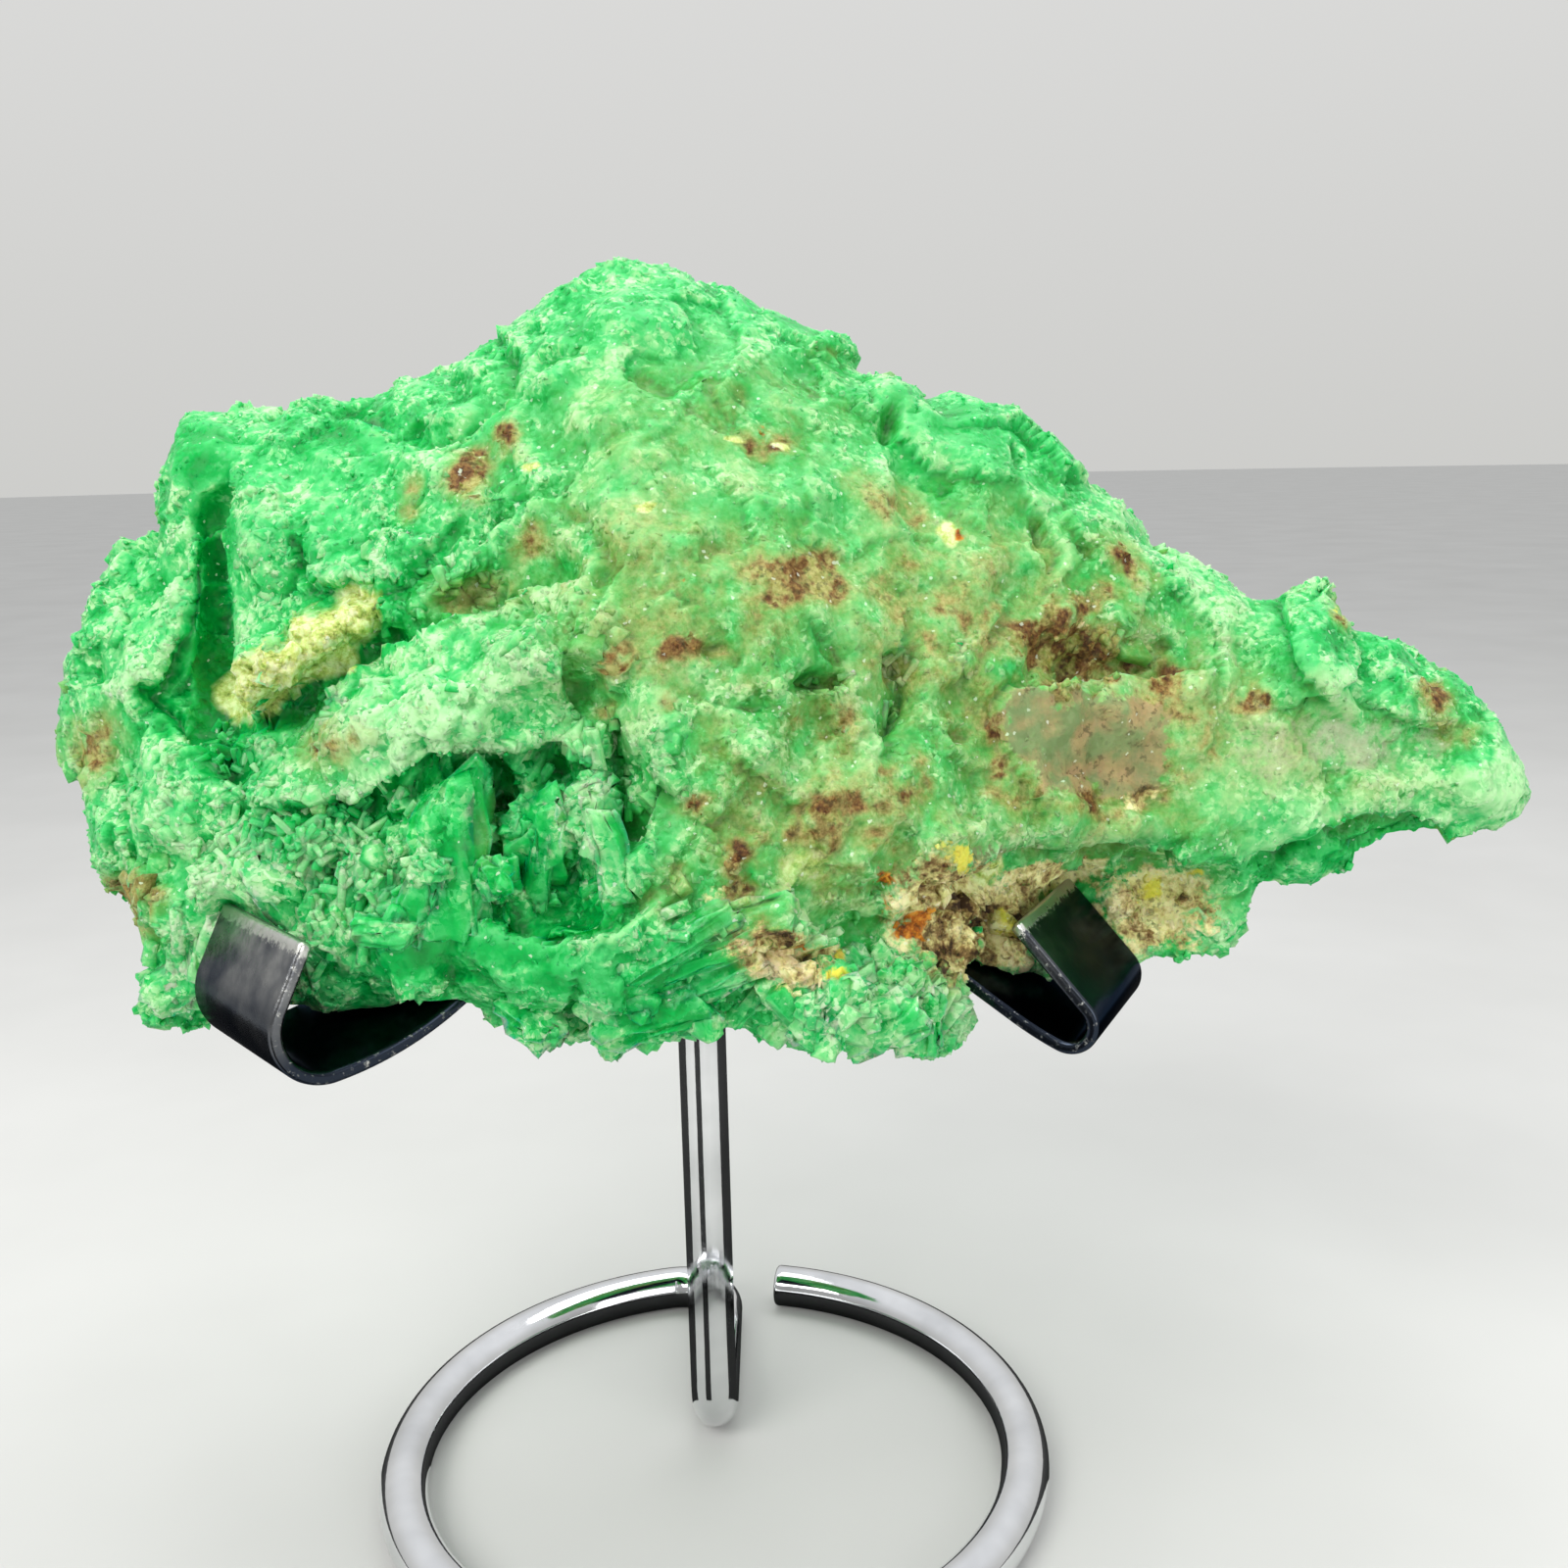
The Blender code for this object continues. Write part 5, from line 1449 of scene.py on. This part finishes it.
def chip_heap(name, points, hosts, size, height, tilt, lean, draw, stretch=(0.7, 1.5)):
    """A heap of chips on the skin: size, height and tilt are one number for each chip."""
    count = len(points)
    up = unit(facet_normals[hosts] + lean * draw.normal(size=(count, 3)))
    along = unit(np.cross(up, draw.normal(size=(count, 3))))
    over = np.cross(up, along)
    stretch = draw.uniform(*stretch, count)
    angles = 2 * math.pi * (np.arange(CHIP_CORNERS) + draw.uniform(-0.3, 0.3, (count, CHIP_CORNERS)))
    angles = angles / CHIP_CORNERS + draw.uniform(0, FULL_TURN, (count, 1))
    reach = size[:, None] * draw.uniform(0.75, 1.2, (count, CHIP_CORNERS))
    longer, wider = stretch[:, None] * reach, reach / stretch[:, None]
    ring = np.stack((np.cos(angles) * longer, np.sin(angles) * wider), -1)
    top = ring * draw.uniform(0.78, 1.0, (count, CHIP_CORNERS, 1))
    slope = draw.uniform(-1, 1, (count, 1, 2)) * tilt[:, None, None]
    top_height = height[:, None] + (slope * top).sum(axis=-1)
    flat = np.concatenate((ring, top, top.mean(axis=1, keepdims=True)), axis=1)
    base_height = np.repeat(-0.8 * size[:, None], CHIP_CORNERS, axis=1)
    rise = np.concatenate((base_height, top_height, top_height.mean(axis=1, keepdims=True)), axis=1)
    placed_points = (points[:, None] + flat[..., :1] * along[:, None] + flat[..., 1:] * over[:, None]
                     + rise[..., None] * up[:, None])
    made = store(name, placed_points.reshape(-1, 3), chip_faces(count), loose_grain)
    hosts_front = smooth_step(facet_normals[hosts] @ TO_EYE, *FACING_SPAN)
    masks = paint(points, hosts_front)
    corners = 2 * CHIP_CORNERS + 1
    # Each chip's top rim is painted paler, as a bruised edge. The chip turns darker towards its sunk base,
    # which is painted shade where it meets the skin.
    edge = np.concatenate((np.full(CHIP_CORNERS, -0.6), np.full(CHIP_CORNERS, 0.9), (-0.2,)))
    tone = draw.uniform(-0.7, 0.7, count)
    write_masks(made, {**{key: np.repeat(value, corners) for key, value in masks.items()},
                       "proud": np.tile(edge, count), "tone": np.repeat(tone, corners)})
    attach(made, "root")
    print(name, count, "chips,", len(made.data.polygons), "triangles")

# %% [markdown]
# Where a chip may lie is a weight for every triangle of the skin. It is high on edges and on the
# face, low in hollows, and nothing where a chip could touch the claws.

# %% Weigh the places for chips
CHIP_CLEARANCE = 1.6
facet_middles = skin_points[skin_triangles].mean(axis=1)
facet_x, facet_w = as_seen(facet_middles)
facet_front = smooth_step(facet_normals @ TO_EYE, *FACING_SPAN)
facet_relief = relief_share(facet_x, facet_w, facet_front)
facet_clear = (metal_distance(facet_middles) > CHIP_CLEARANCE).astype(float)
facet_sunk = facet_front * sunk(facet_x, facet_w)
facet_proud = proud[skin_triangles].mean(axis=1)
spread = facet_clear * np.clip(1 - 0.4 * facet_sunk, 0.1, 1) * (0.3 + facet_front)
spread = spread * (0.35 + 2.0 * np.clip(facet_proud, 0, 1))
print("clear of the claws:", round(float(facet_clear.mean()) * 100), "percent of the skin's triangles")

# %% [markdown]
# Three heaps cover the stone: slabs of one to three millimetres that lie almost in the skin,
# chips of about one millimetre, and sugar of about half a millimetre. Waxy places get few and
# flat ones, and coarse places large and steep ones.

# %% Strew the chips
draw = np.random.RandomState(31)

points, hosts = scatter(260, spread * np.clip(facet_relief - 0.8, 0.01, 1.0), draw)
share = facet_relief[hosts]
size = draw.uniform(0.7, 1.5, len(points)) * np.clip(share, 0.7, 1.2)
chip_heap("slabs", points, hosts, size, 0.02 * size, 0.25 * share, 0.08, draw)

points, hosts = scatter(4200, spread * np.clip(facet_relief - 0.4, 0.03, 1.6) ** 1.5, draw)
share = facet_relief[hosts]
size = draw.uniform(0.25, 0.6, len(points)) * np.clip(share, 0.6, 1.3)
chip_heap("chips", points, hosts, size, 0.06 * size, 0.45 * share, 0.12, draw)

points, hosts = scatter(9000, spread * np.clip(facet_relief - 0.1, 0.1, 1.2), draw)
size = draw.uniform(0.13, 0.3, len(points))
chip_heap("sugar", points, hosts, size, 0.12 * size, np.full(len(points), 0.6), 0.25, draw)

# %% [markdown]
# ## The wire stand
# The stand is one length of wire, bent to a ring, a spoke and an upright stem. The solid has
# twelve flats, and this piece follows the same middle line with a truly round section. The line
# is written as arcs and straight runs, in the order in which a bender would make them.

# %% Draw the wire's middle line
FREE_END_TURN = 78.7
SPOKE_BEND = 5.5
STEM_FOOT_BEND = 5.75
STEM_X = -0.3
STEM_Y = 3.2
HUB_Z = 75.6
HUB_THICKNESS = 2.0
GAP = 0.35


def wire_path():
    """Middle line of the wire from its free end to the stem's top, as (point, direction, side)."""
    up = Vector((0, 0, 1))
    inner = RING_RADIUS - SPOKE_BEND
    seam = math.degrees(math.acos((STEM_X - SPOKE_BEND) / inner))
    path = []
    for angle in np.radians(np.linspace(FREE_END_TURN, seam - 360, 181)):
        point = Vector((RING_RADIUS * math.cos(angle), RING_RADIUS * math.sin(angle), WIRE / 2))
        path.append((point, Vector((math.sin(angle), -math.cos(angle), 0))))
    middle = Vector((inner * math.cos(math.radians(seam)), inner * math.sin(math.radians(seam)), WIRE / 2))
    for angle in np.radians(np.linspace(seam, 0, 28))[1:]:
        point = middle + SPOKE_BEND * Vector((math.cos(angle), math.sin(angle), 0))
        path.append((point, Vector((math.sin(angle), -math.cos(angle), 0))))
    flat_path = [(point, tangent, tangent.cross(up)) for point, tangent in path]
    side = Vector((-1, 0, 0))
    rising = []
    for angle in np.radians(np.linspace(0, 90, 24)):
        point = Vector((STEM_X, STEM_Y + STEM_FOOT_BEND * (1 - math.sin(angle)),
                        WIRE / 2 + STEM_FOOT_BEND * (1 - math.cos(angle))))
        rising.append((point, Vector((0, -math.cos(angle), math.sin(angle))), side))
    top = Vector((STEM_X, STEM_Y, HUB_Z - HUB_THICKNESS / 2 - GAP))
    return flat_path + rising + [(top, Vector((0, 0, 1)), side)]


path = wire_path()
wire_length = sum((far[0] - near[0]).length for near, far in zip(path, path[1:]))
print("the wire is", round(wire_length), "mm long")

# %% [markdown]
# A ring of points is carried along the line, and each ring is joined to the one before. The
# same helper also makes the round plate under the stone, from four rings.

# %% Sweep a round section
def sweep(rings, sides):
    """Points and triangles of a tube through rings of (middle, side, rise, radius)."""
    angles = 2 * math.pi * np.arange(sides) / sides
    points = []
    for middle, side, rise, radius in rings:
        offsets = np.outer(np.cos(angles), side) + np.outer(np.sin(angles), rise)
        points.append(np.array(middle) + radius * offsets)
    points.append(np.array([rings[0][0], rings[-1][0]]))
    return np.concatenate(points), tube_faces(len(rings), sides)


WIRE_SIDES = 40
print("the wire's section has", WIRE_SIDES, "sides")

# %% [markdown]
# Mirror chrome is a plain metal with a very low roughness. Handling leaves it a little uneven,
# so the roughness changes softly and a slight ripple bends the reflections.

# %% Material: mirror chrome
chrome, tree, shader = new_material("mirror_chrome")
where = add(tree, "TexCoord").outputs["Object"]
swirl = noise(tree, where, 9.0, 3.0)
tree.links.new(ramp(tree, swirl, ((0.3, (0.62, 0.63, 0.64, 1)), (0.7, (0.8, 0.81, 0.82, 1)))),
               shader.inputs["Base Color"])
tree.links.new(span(tree, noise(tree, where, 0.8, 4.0), 0.3, 0.75, 0.03, 0.13), shader.inputs["Roughness"])
ripple = add(tree, "Bump", {"Strength": 0.12, "Distance": 0.2 * MM, "Height": noise(tree, where, 4.0, 2.0)})
tree.links.new(ripple.outputs["Normal"], shader.inputs["Normal"])
shader.inputs["Metallic"].default_value = 1.0
print("chrome:", len(tree.nodes), "nodes")

# %% [markdown]
# The free end of the wire is cut square and only just rounded, as a wire cutter and a file leave
# it. Four narrowing rings in front of the first full one make that edge.

# %% Make the wire
END_ROUNDING = 0.45
first, tangent, side = path[0]
rings = []
for turn in np.radians(np.linspace(0, 90, 5)):
    along = END_ROUNDING * (1 - math.cos(turn))
    inward = END_ROUNDING * (1 - math.sin(turn))
    rings.append((first + along * tangent, side, side.cross(tangent), WIRE / 2 - inward))
rings += [(point, side, side.cross(tangent), WIRE / 2) for point, tangent, side in path[1:]]
wire_points, wire_faces = sweep(rings, WIRE_SIDES)
wire = store("chrome_wire", wire_points, wire_faces, chrome, flat=False)
wire.data.set_sharp_from_angle(angle=math.radians(40))
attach(wire, "root")
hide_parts("ring_stand")
print("wire:", len(wire_faces), "triangles")

# %% [markdown]
# ## The claws
# Two strips of steel are bent so that they run down and out under the stone and curl up in
# front of it. They are plated almost black. The section of a strip is a flat bar with rounded
# edges, and its tip is cut straight across. Fingers and stones have rubbed the plating through
# along that cut, so a mask of the distance to the tip carries the wear.

# %% Draw the claws' middle lines
STRIP_WIDTH = 16.0
STRIP = 1.2
HUB_RADIUS = 10.0
HUB_BEND = 6.0
LEFT_CLAW = dict(turn=-49.3, slope=-29.0, curl=(43.9, 63.1), curl_radius=4.5, sag_radius=28.0,
                 sag_end=-4.0, tip_heading=118.0, tip_length=5.8)
RIGHT_CLAW = dict(turn=63.7, slope=-31.0, curl=(41.3, 58.2), curl_radius=2.2, sag_radius=28.0,
                  sag_end=-22.0, tip_heading=133.0, tip_length=9.6)


def bent(centre, radius, start, end, steps, turn=1):
    """Points of an arc in a flat profile, as (reach, height, heading)."""
    headings = np.radians(np.linspace(start, end, steps + 1))
    return [(centre[0] + turn * radius * math.sin(h), centre[1] - turn * radius * math.cos(h), h)
            for h in headings]


def claw_profile(claw):
    """Middle line of one strip, from the hub out to its tip."""
    curl = bent(claw["curl"], claw["curl_radius"], claw["sag_end"], claw["tip_heading"], 40)
    start = math.radians(claw["sag_end"])
    sag_middle = (curl[0][0] - claw["sag_radius"] * math.sin(start),
                  curl[0][1] + claw["sag_radius"] * math.cos(start))
    sag = bent(sag_middle, claw["sag_radius"], claw["slope"], claw["sag_end"], 16)
    slope = math.radians(claw["slope"])
    reach = sag[0][0] - (HUB_Z - HUB_BEND * (1 - math.cos(slope)) - sag[0][1]) / -math.tan(slope)
    hub_middle = (reach + HUB_BEND * math.sin(slope), HUB_Z - HUB_BEND)
    hub = bent(hub_middle, HUB_BEND, 0, claw["slope"], 10, turn=-1)
    heading = math.radians(claw["tip_heading"])
    tip = [(curl[-1][0] + share * claw["tip_length"] * math.cos(heading),
            curl[-1][1] + share * claw["tip_length"] * math.sin(heading), heading)
           for share in np.linspace(0, 1, 9)[1:]]
    return hub + sag[:-1] + curl + tip


print("left claw:", len(claw_profile(LEFT_CLAW)), "stations")

# %% [markdown]
# The strip's section is a flat bar with four rounded corners, because rolled steel has no sharp
# edge. A short arc of a few points makes each corner.

# %% The strip's section
EDGE_ROUNDING = 0.42
CORNER_STEPS = 4


def bar_section(width, thickness, rounding):
    """Half-width and thickness places round a flat bar with rounded corners."""
    ring = []
    for corner, (sx, st) in enumerate(((1, 1), (-1, 1), (-1, -1), (1, -1))):
        for step in range(CORNER_STEPS + 1):
            angle = math.radians(90 * corner + 90 * step / CORNER_STEPS)
            ring.append((sx * (width / 2 - rounding) + rounding * math.cos(angle),
                         st * (thickness / 2 - rounding) + rounding * math.sin(angle)))
    return ring


print("the section has", len(bar_section(STRIP_WIDTH, STRIP, EDGE_ROUNDING)), "points")

# %% [markdown]
# The section is swept along the middle line, and every station gets the same ring of points. The
# last rings are drawn in slightly, which rounds the cut edge of the tip. Each point also
# remembers how far it lies from the tip and whether it lies on the strip's edge.

# %% Sweep one strip
FAR_FROM_TIP = 60.0


def strip_mesh(claw):
    """Points, triangles and wear of one strip."""
    turn = math.radians(claw["turn"])
    outward = np.array((math.sin(turn), -math.cos(turn), 0))
    across = np.array((math.cos(turn), math.sin(turn), 0))
    stem = np.array((STEM_X, STEM_Y, 0))
    profile = claw_profile(claw)
    heights = np.array([(reach, height) for reach, height, _ in profile])
    steps = np.linalg.norm(np.diff(heights, axis=0), axis=1)
    to_tip = np.concatenate((np.cumsum(steps[::-1])[::-1], (0,)))
    stations = [(row, STRIP_WIDTH, STRIP, distance) for row, distance in zip(profile, to_tip)]
    reach, height, heading = profile[-1]
    shrink = 0.3
    stations[-1] = ((reach - shrink * math.cos(heading), height - shrink * math.sin(heading), heading),
                    STRIP_WIDTH, STRIP, shrink)
    stations.append(((reach - 0.08 * math.cos(heading), height - 0.08 * math.sin(heading), heading),
                     STRIP_WIDTH - 0.25, STRIP - 0.25, 0.1))
    stations.append((profile[-1], STRIP_WIDTH - 0.6, STRIP - 0.6, 0.0))
    rings, tip, rim = [], [], []
    for (reach, height, heading), width, thickness, distance in stations:
        middle = stem + reach * outward + np.array((0, 0, height))
        inward = -math.sin(heading) * outward + np.array((0, 0, math.cos(heading)))
        rounding = min(EDGE_ROUNDING, thickness / 2 - 0.01)
        section = bar_section(width, thickness, rounding)
        rings.append(np.array([middle + a * across + t * inward for a, t in section]))
        tip += [distance] * len(section)
        rim += [float(abs(a) > width / 2 - 0.6 * rounding and abs(t) > 0.15) for a, t in section]
    points = np.concatenate(rings + [[rings[0].mean(axis=0), rings[-1].mean(axis=0)]])
    tip += [FAR_FROM_TIP, 0.0]
    rim += [0.0, 0.0]
    return points, tube_faces(len(rings), len(rings[0])), np.array(tip), np.array(rim)


print("one strip has", len(strip_mesh(LEFT_CLAW)[1]), "triangles")

# %% [markdown]
# A small round plate under the stone joins both strips to the stem. Its edge is bevelled, so
# that it catches a line of light.

# %% The plate on the stem
HUB_SIDES = 64


def hub_mesh():
    """The round plate that joins both strips, with a bevelled edge."""
    low, high = HUB_Z - HUB_THICKNESS / 2, HUB_Z + HUB_THICKNESS / 2
    bevel = 0.3
    rows = [(low, HUB_RADIUS - bevel), (low + bevel, HUB_RADIUS),
            (high - bevel, HUB_RADIUS), (high, HUB_RADIUS - bevel)]
    right, back = Vector((1, 0, 0)), Vector((0, 1, 0))
    rings = [(Vector((STEM_X, STEM_Y, z)), right, back, radius) for z, radius in rows]
    points, faces = sweep(rings, HUB_SIDES)
    return points, faces, np.full(len(points), FAR_FROM_TIP), np.zeros(len(points))


print("the plate has", len(hub_mesh()[1]), "triangles")

# %% [markdown]
# The strips are plated almost black with a hint of blue. The tips are rubbed bright, a few millimetres behind
# them the plating is dulled to silver, and the left claw is worn more than the right one. The dulled silver
# is broken by noise into lighter and darker streaks, which are uneven wear and partly a painted sheen. Masks
# of the distance to the tip, of the strip's edges and of the handling carry all that, and noise tears them.

# %% Material: dark nickel
nickel, tree, shader = new_material("dark_nickel")
where = add(tree, "TexCoord").outputs["Object"]
to_tip = mask(tree, "to_tip")
bites = noise(tree, where, 0.55, 4.0, 0.7)
near_tip = span(tree, to_tip, 0.0, 3.2, 1.0, 0.0)
wear = math_node(tree, 'MAXIMUM', near_tip, math_node(tree, 'MULTIPLY', mask(tree, "rim"), 0.52))
rubbed = span(tree, math_node(tree, 'MULTIPLY_ADD', bites, 0.8, wear), 0.98, 1.12)
dulled = math_node(tree, 'MULTIPLY', math_node(tree, 'MULTIPLY', span(tree, to_tip, 2.0, 11.0, 1.0, 0.0),
                                               mask(tree, "handled")),
                   span(tree, noise(tree, where, 3.0, 4.0, 0.6), 0.3, 0.7, 0.6, 1.1))
# Painted sheen: lighter and darker streaks of noise in the dulled silver, partly uneven wear.
sheen_streaks = noise(tree, where, 4.0, 2.0, 0.5)
silver_and_sheen = blend_colours(tree, span(tree, sheen_streaks, 0.38, 0.62), (0.2, 0.205, 0.215, 1), (0.42, 0.42, 0.41, 1))
plating = blend_colours(tree, dulled, (0.028, 0.036, 0.052, 1), silver_and_sheen)
tree.links.new(blend_colours(tree, rubbed, plating, (0.66, 0.66, 0.62, 1)), shader.inputs["Base Color"])
pitted = math_node(tree, 'MAXIMUM', rubbed, dulled)
tree.links.new(span(tree, pitted, 0.0, 1.0, 0.22, 0.3), shader.inputs["Roughness"])
pits = math_node(tree, 'MULTIPLY', noise(tree, where, 0.7, 3.0), span(tree, pitted, 0.0, 1.0, 0.06, 1.0))
dents = add(tree, "Bump", {"Strength": 0.5, "Distance": 0.15 * MM, "Height": pits})
tree.links.new(dents.outputs["Normal"], shader.inputs["Normal"])
shader.inputs["Metallic"].default_value = 1.0
shader.inputs["Specular Tint"].default_value = (0.4, 0.42, 0.46, 1.0)
print("dark nickel:", len(tree.nodes), "nodes")

# %% [markdown]
# Both strips and the plate become one piece, because on the real stand they are joined for good.
# It stands for the cradle's solid.

# %% Make the claws
parts = [strip_mesh(LEFT_CLAW), strip_mesh(RIGHT_CLAW), hub_mesh()]
starts = np.cumsum([0] + [len(part[0]) for part in parts])
claws = store("nickel_claws", np.concatenate([part[0] for part in parts]),
              np.concatenate([part[1] + start for part, start in zip(parts, starts)]), nickel, flat=False)
handled = np.repeat((1.0, 0.3, 0.0), np.diff(starts))
to_tip, rim = (np.concatenate([part[place] for part in parts]) for place in (2, 3))
write_masks(claws, {"to_tip": to_tip, "rim": rim, "handled": handled})
claws.data.set_sharp_from_angle(angle=math.radians(35))
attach(claws, "root")
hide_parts("claw_cradle")
print("claws:", len(claws.data.polygons), "triangles")

# %% [markdown]
# ## Floor, light and camera
# The part stands on a plain pale floor, a wide disc. Its colour is almost even, and it has no
# gloss, because a glossy floor would show bright arcs below the chrome ring.

# %% Floor
floor_material, tree, shader = new_material("pale_floor")
where = add(tree, "TexCoord").outputs["Object"]
clouded = noise(tree, where, 60.0, 3.0)
paint_of_floor = ramp(tree, clouded, ((0.3, (0.60, 0.60, 0.585, 1)), (0.7, (0.64, 0.64, 0.625, 1))))
tree.links.new(paint_of_floor, shader.inputs["Base Color"])
shader.inputs["Roughness"].default_value = 1.0
shader.inputs["Specular IOR Level"].default_value = 0.0
bm = bmesh.new()
bmesh.ops.create_circle(bm, cap_ends=True, segments=96, radius=6.0)
floor_mesh = bpy.data.meshes.new("floor")
bm.to_mesh(floor_mesh)
bm.free()
floor_mesh.materials.append(floor_material)
floor = bpy.data.objects.new("floor", floor_mesh)
bpy.context.scene.collection.objects.link(floor)
print("the floor is a disc of", len(floor_mesh.vertices), "corners")

# %% [markdown]
# The world is a soft sky, brighter above than at the horizon, and a little dimmer in front of
# the part, so that the metal shows some shape.

# %% World
scene = bpy.context.scene
scene.view_settings.view_transform = 'Standard'
world = bpy.data.worlds.new("studio")
scene.world = world
world.use_nodes = True
tree = world.node_tree
background = tree.nodes["Background"]
direction = add(tree, "TexCoord").outputs["Generated"]
parts_of = add(tree, "SeparateXYZ", {0: direction}).outputs
height = span(tree, parts_of["Z"], -0.1, 0.7)
sky = ramp(tree, height, ((0.0, (0.62, 0.62, 0.60, 1)), (0.5, (0.75, 0.75, 0.74, 1)),
                          (1.0, (0.95, 0.96, 0.98, 1))))
dim = span(tree, parts_of["Y"], -0.9, 0.1, 0.55, 1.0)
grey = add(tree, "CombineXYZ", {0: dim, 1: dim, 2: dim}).outputs[0]
tree.links.new(blend_colours(tree, 1.0, sky, grey, 'MULTIPLY'), background.inputs["Color"])
background.inputs["Strength"].default_value = 0.95
print("world:", world.name)

# %% [markdown]
# Three soft lights stand round the part. A large one from the upper left models the relief, a
# broad one overhead lifts the top, and a weaker one fills the right side.

# %% Lights
def area_light(name, place, size, power, tint=(1.0, 1.0, 1.0)):
    """A square soft light aimed at the stone."""
    data = bpy.data.lights.new(name, 'AREA')
    data.size = size * MM
    data.energy = power
    data.color = tint
    made = bpy.data.objects.new(name, data)
    target = Vector((FACE_MIDDLE + RING_MIDDLE) * MM)
    made.location = Vector((np.array(place) + RING_MIDDLE) * MM)
    made.rotation_euler = (target - made.location).to_track_quat('-Z', 'Y').to_euler()
    bpy.context.scene.collection.objects.link(made)


area_light("key", (-220, -300, 380), 280, 1.5, (1.0, 0.99, 0.96))
area_light("overhead", (60, 60, 480), 380, 1.0)
area_light("fill", (300, -420, 200), 320, 0.8)

# %% [markdown]
# Chrome has no colour of its own: it shows what is round it. The real stem has dark edges and a
# dark line, and photographers get such lines with black cards beside the object. Here three flat
# black sectors lie just above the floor round the stem. Only reflections see them, so they cast
# no shadow and the floor stays pale.

# %% Black cards for the chrome
black_card, tree, shader = new_material("black_card")
shader.inputs["Base Color"].default_value = (0.01, 0.01, 0.01, 1)
shader.inputs["Roughness"].default_value = 1.0
CARDS = ((-36, -10), (78, 178), (-178, -84))
CARD_REACH = 300.0
for number, (start, end) in enumerate(CARDS):
    rim = [(math.sin(turn), -math.cos(turn)) for turn in np.radians(np.linspace(start, end, 12))]
    inner = [(8.0 * x, 8.0 * y, 0.3) for x, y in rim]
    outer = [(CARD_REACH * x, CARD_REACH * y, 0.3) for x, y in rim[::-1]]
    corners = inner + outer
    card_mesh = bpy.data.meshes.new(f"card_{number}")
    card_mesh.from_pydata([Vector(corner) * MM for corner in corners], [], [tuple(range(len(corners)))])
    card_mesh.materials.append(black_card)
    card = bpy.data.objects.new(f"card_{number}", card_mesh)
    card.location = Vector((np.array((STEM_X, STEM_Y, 0.0)) + RING_MIDDLE) * MM)
    card.visible_camera = False
    card.visible_diffuse = False
    card.visible_shadow = False
    scene.collection.objects.link(card)
print(len(CARDS), "black cards")

# %% [markdown]
# The camera stands where the photograph was taken: just above the stone, very close, and leaning
# down by twelve degrees, with a hint of roll. The wide lens makes the near claws look large.

# %% Camera
CAMERA_PLACE = (8.86, -152.0, 108.05)
CAMERA_ROLL = math.radians(-1.24)
camera_data = bpy.data.cameras.new("camera")
camera_data.lens = 36.0
camera_data.sensor_width = 36.0
camera_data.clip_start = 0.01
camera = bpy.data.objects.new("camera", camera_data)
scene.collection.objects.link(camera)
sideways = Vector(math.cos(CAMERA_ROLL) * RIGHT + math.sin(CAMERA_ROLL) * UP)
upward = Vector(-math.sin(CAMERA_ROLL) * RIGHT + math.cos(CAMERA_ROLL) * UP)
turned = Matrix((sideways, upward, Vector(TO_EYE))).transposed().to_4x4()
camera.matrix_world = Matrix.Translation(Vector((np.array(CAMERA_PLACE) + RING_MIDDLE) * MM)) @ turned
scene.camera = camera
print("camera lens:", camera_data.lens, "mm")
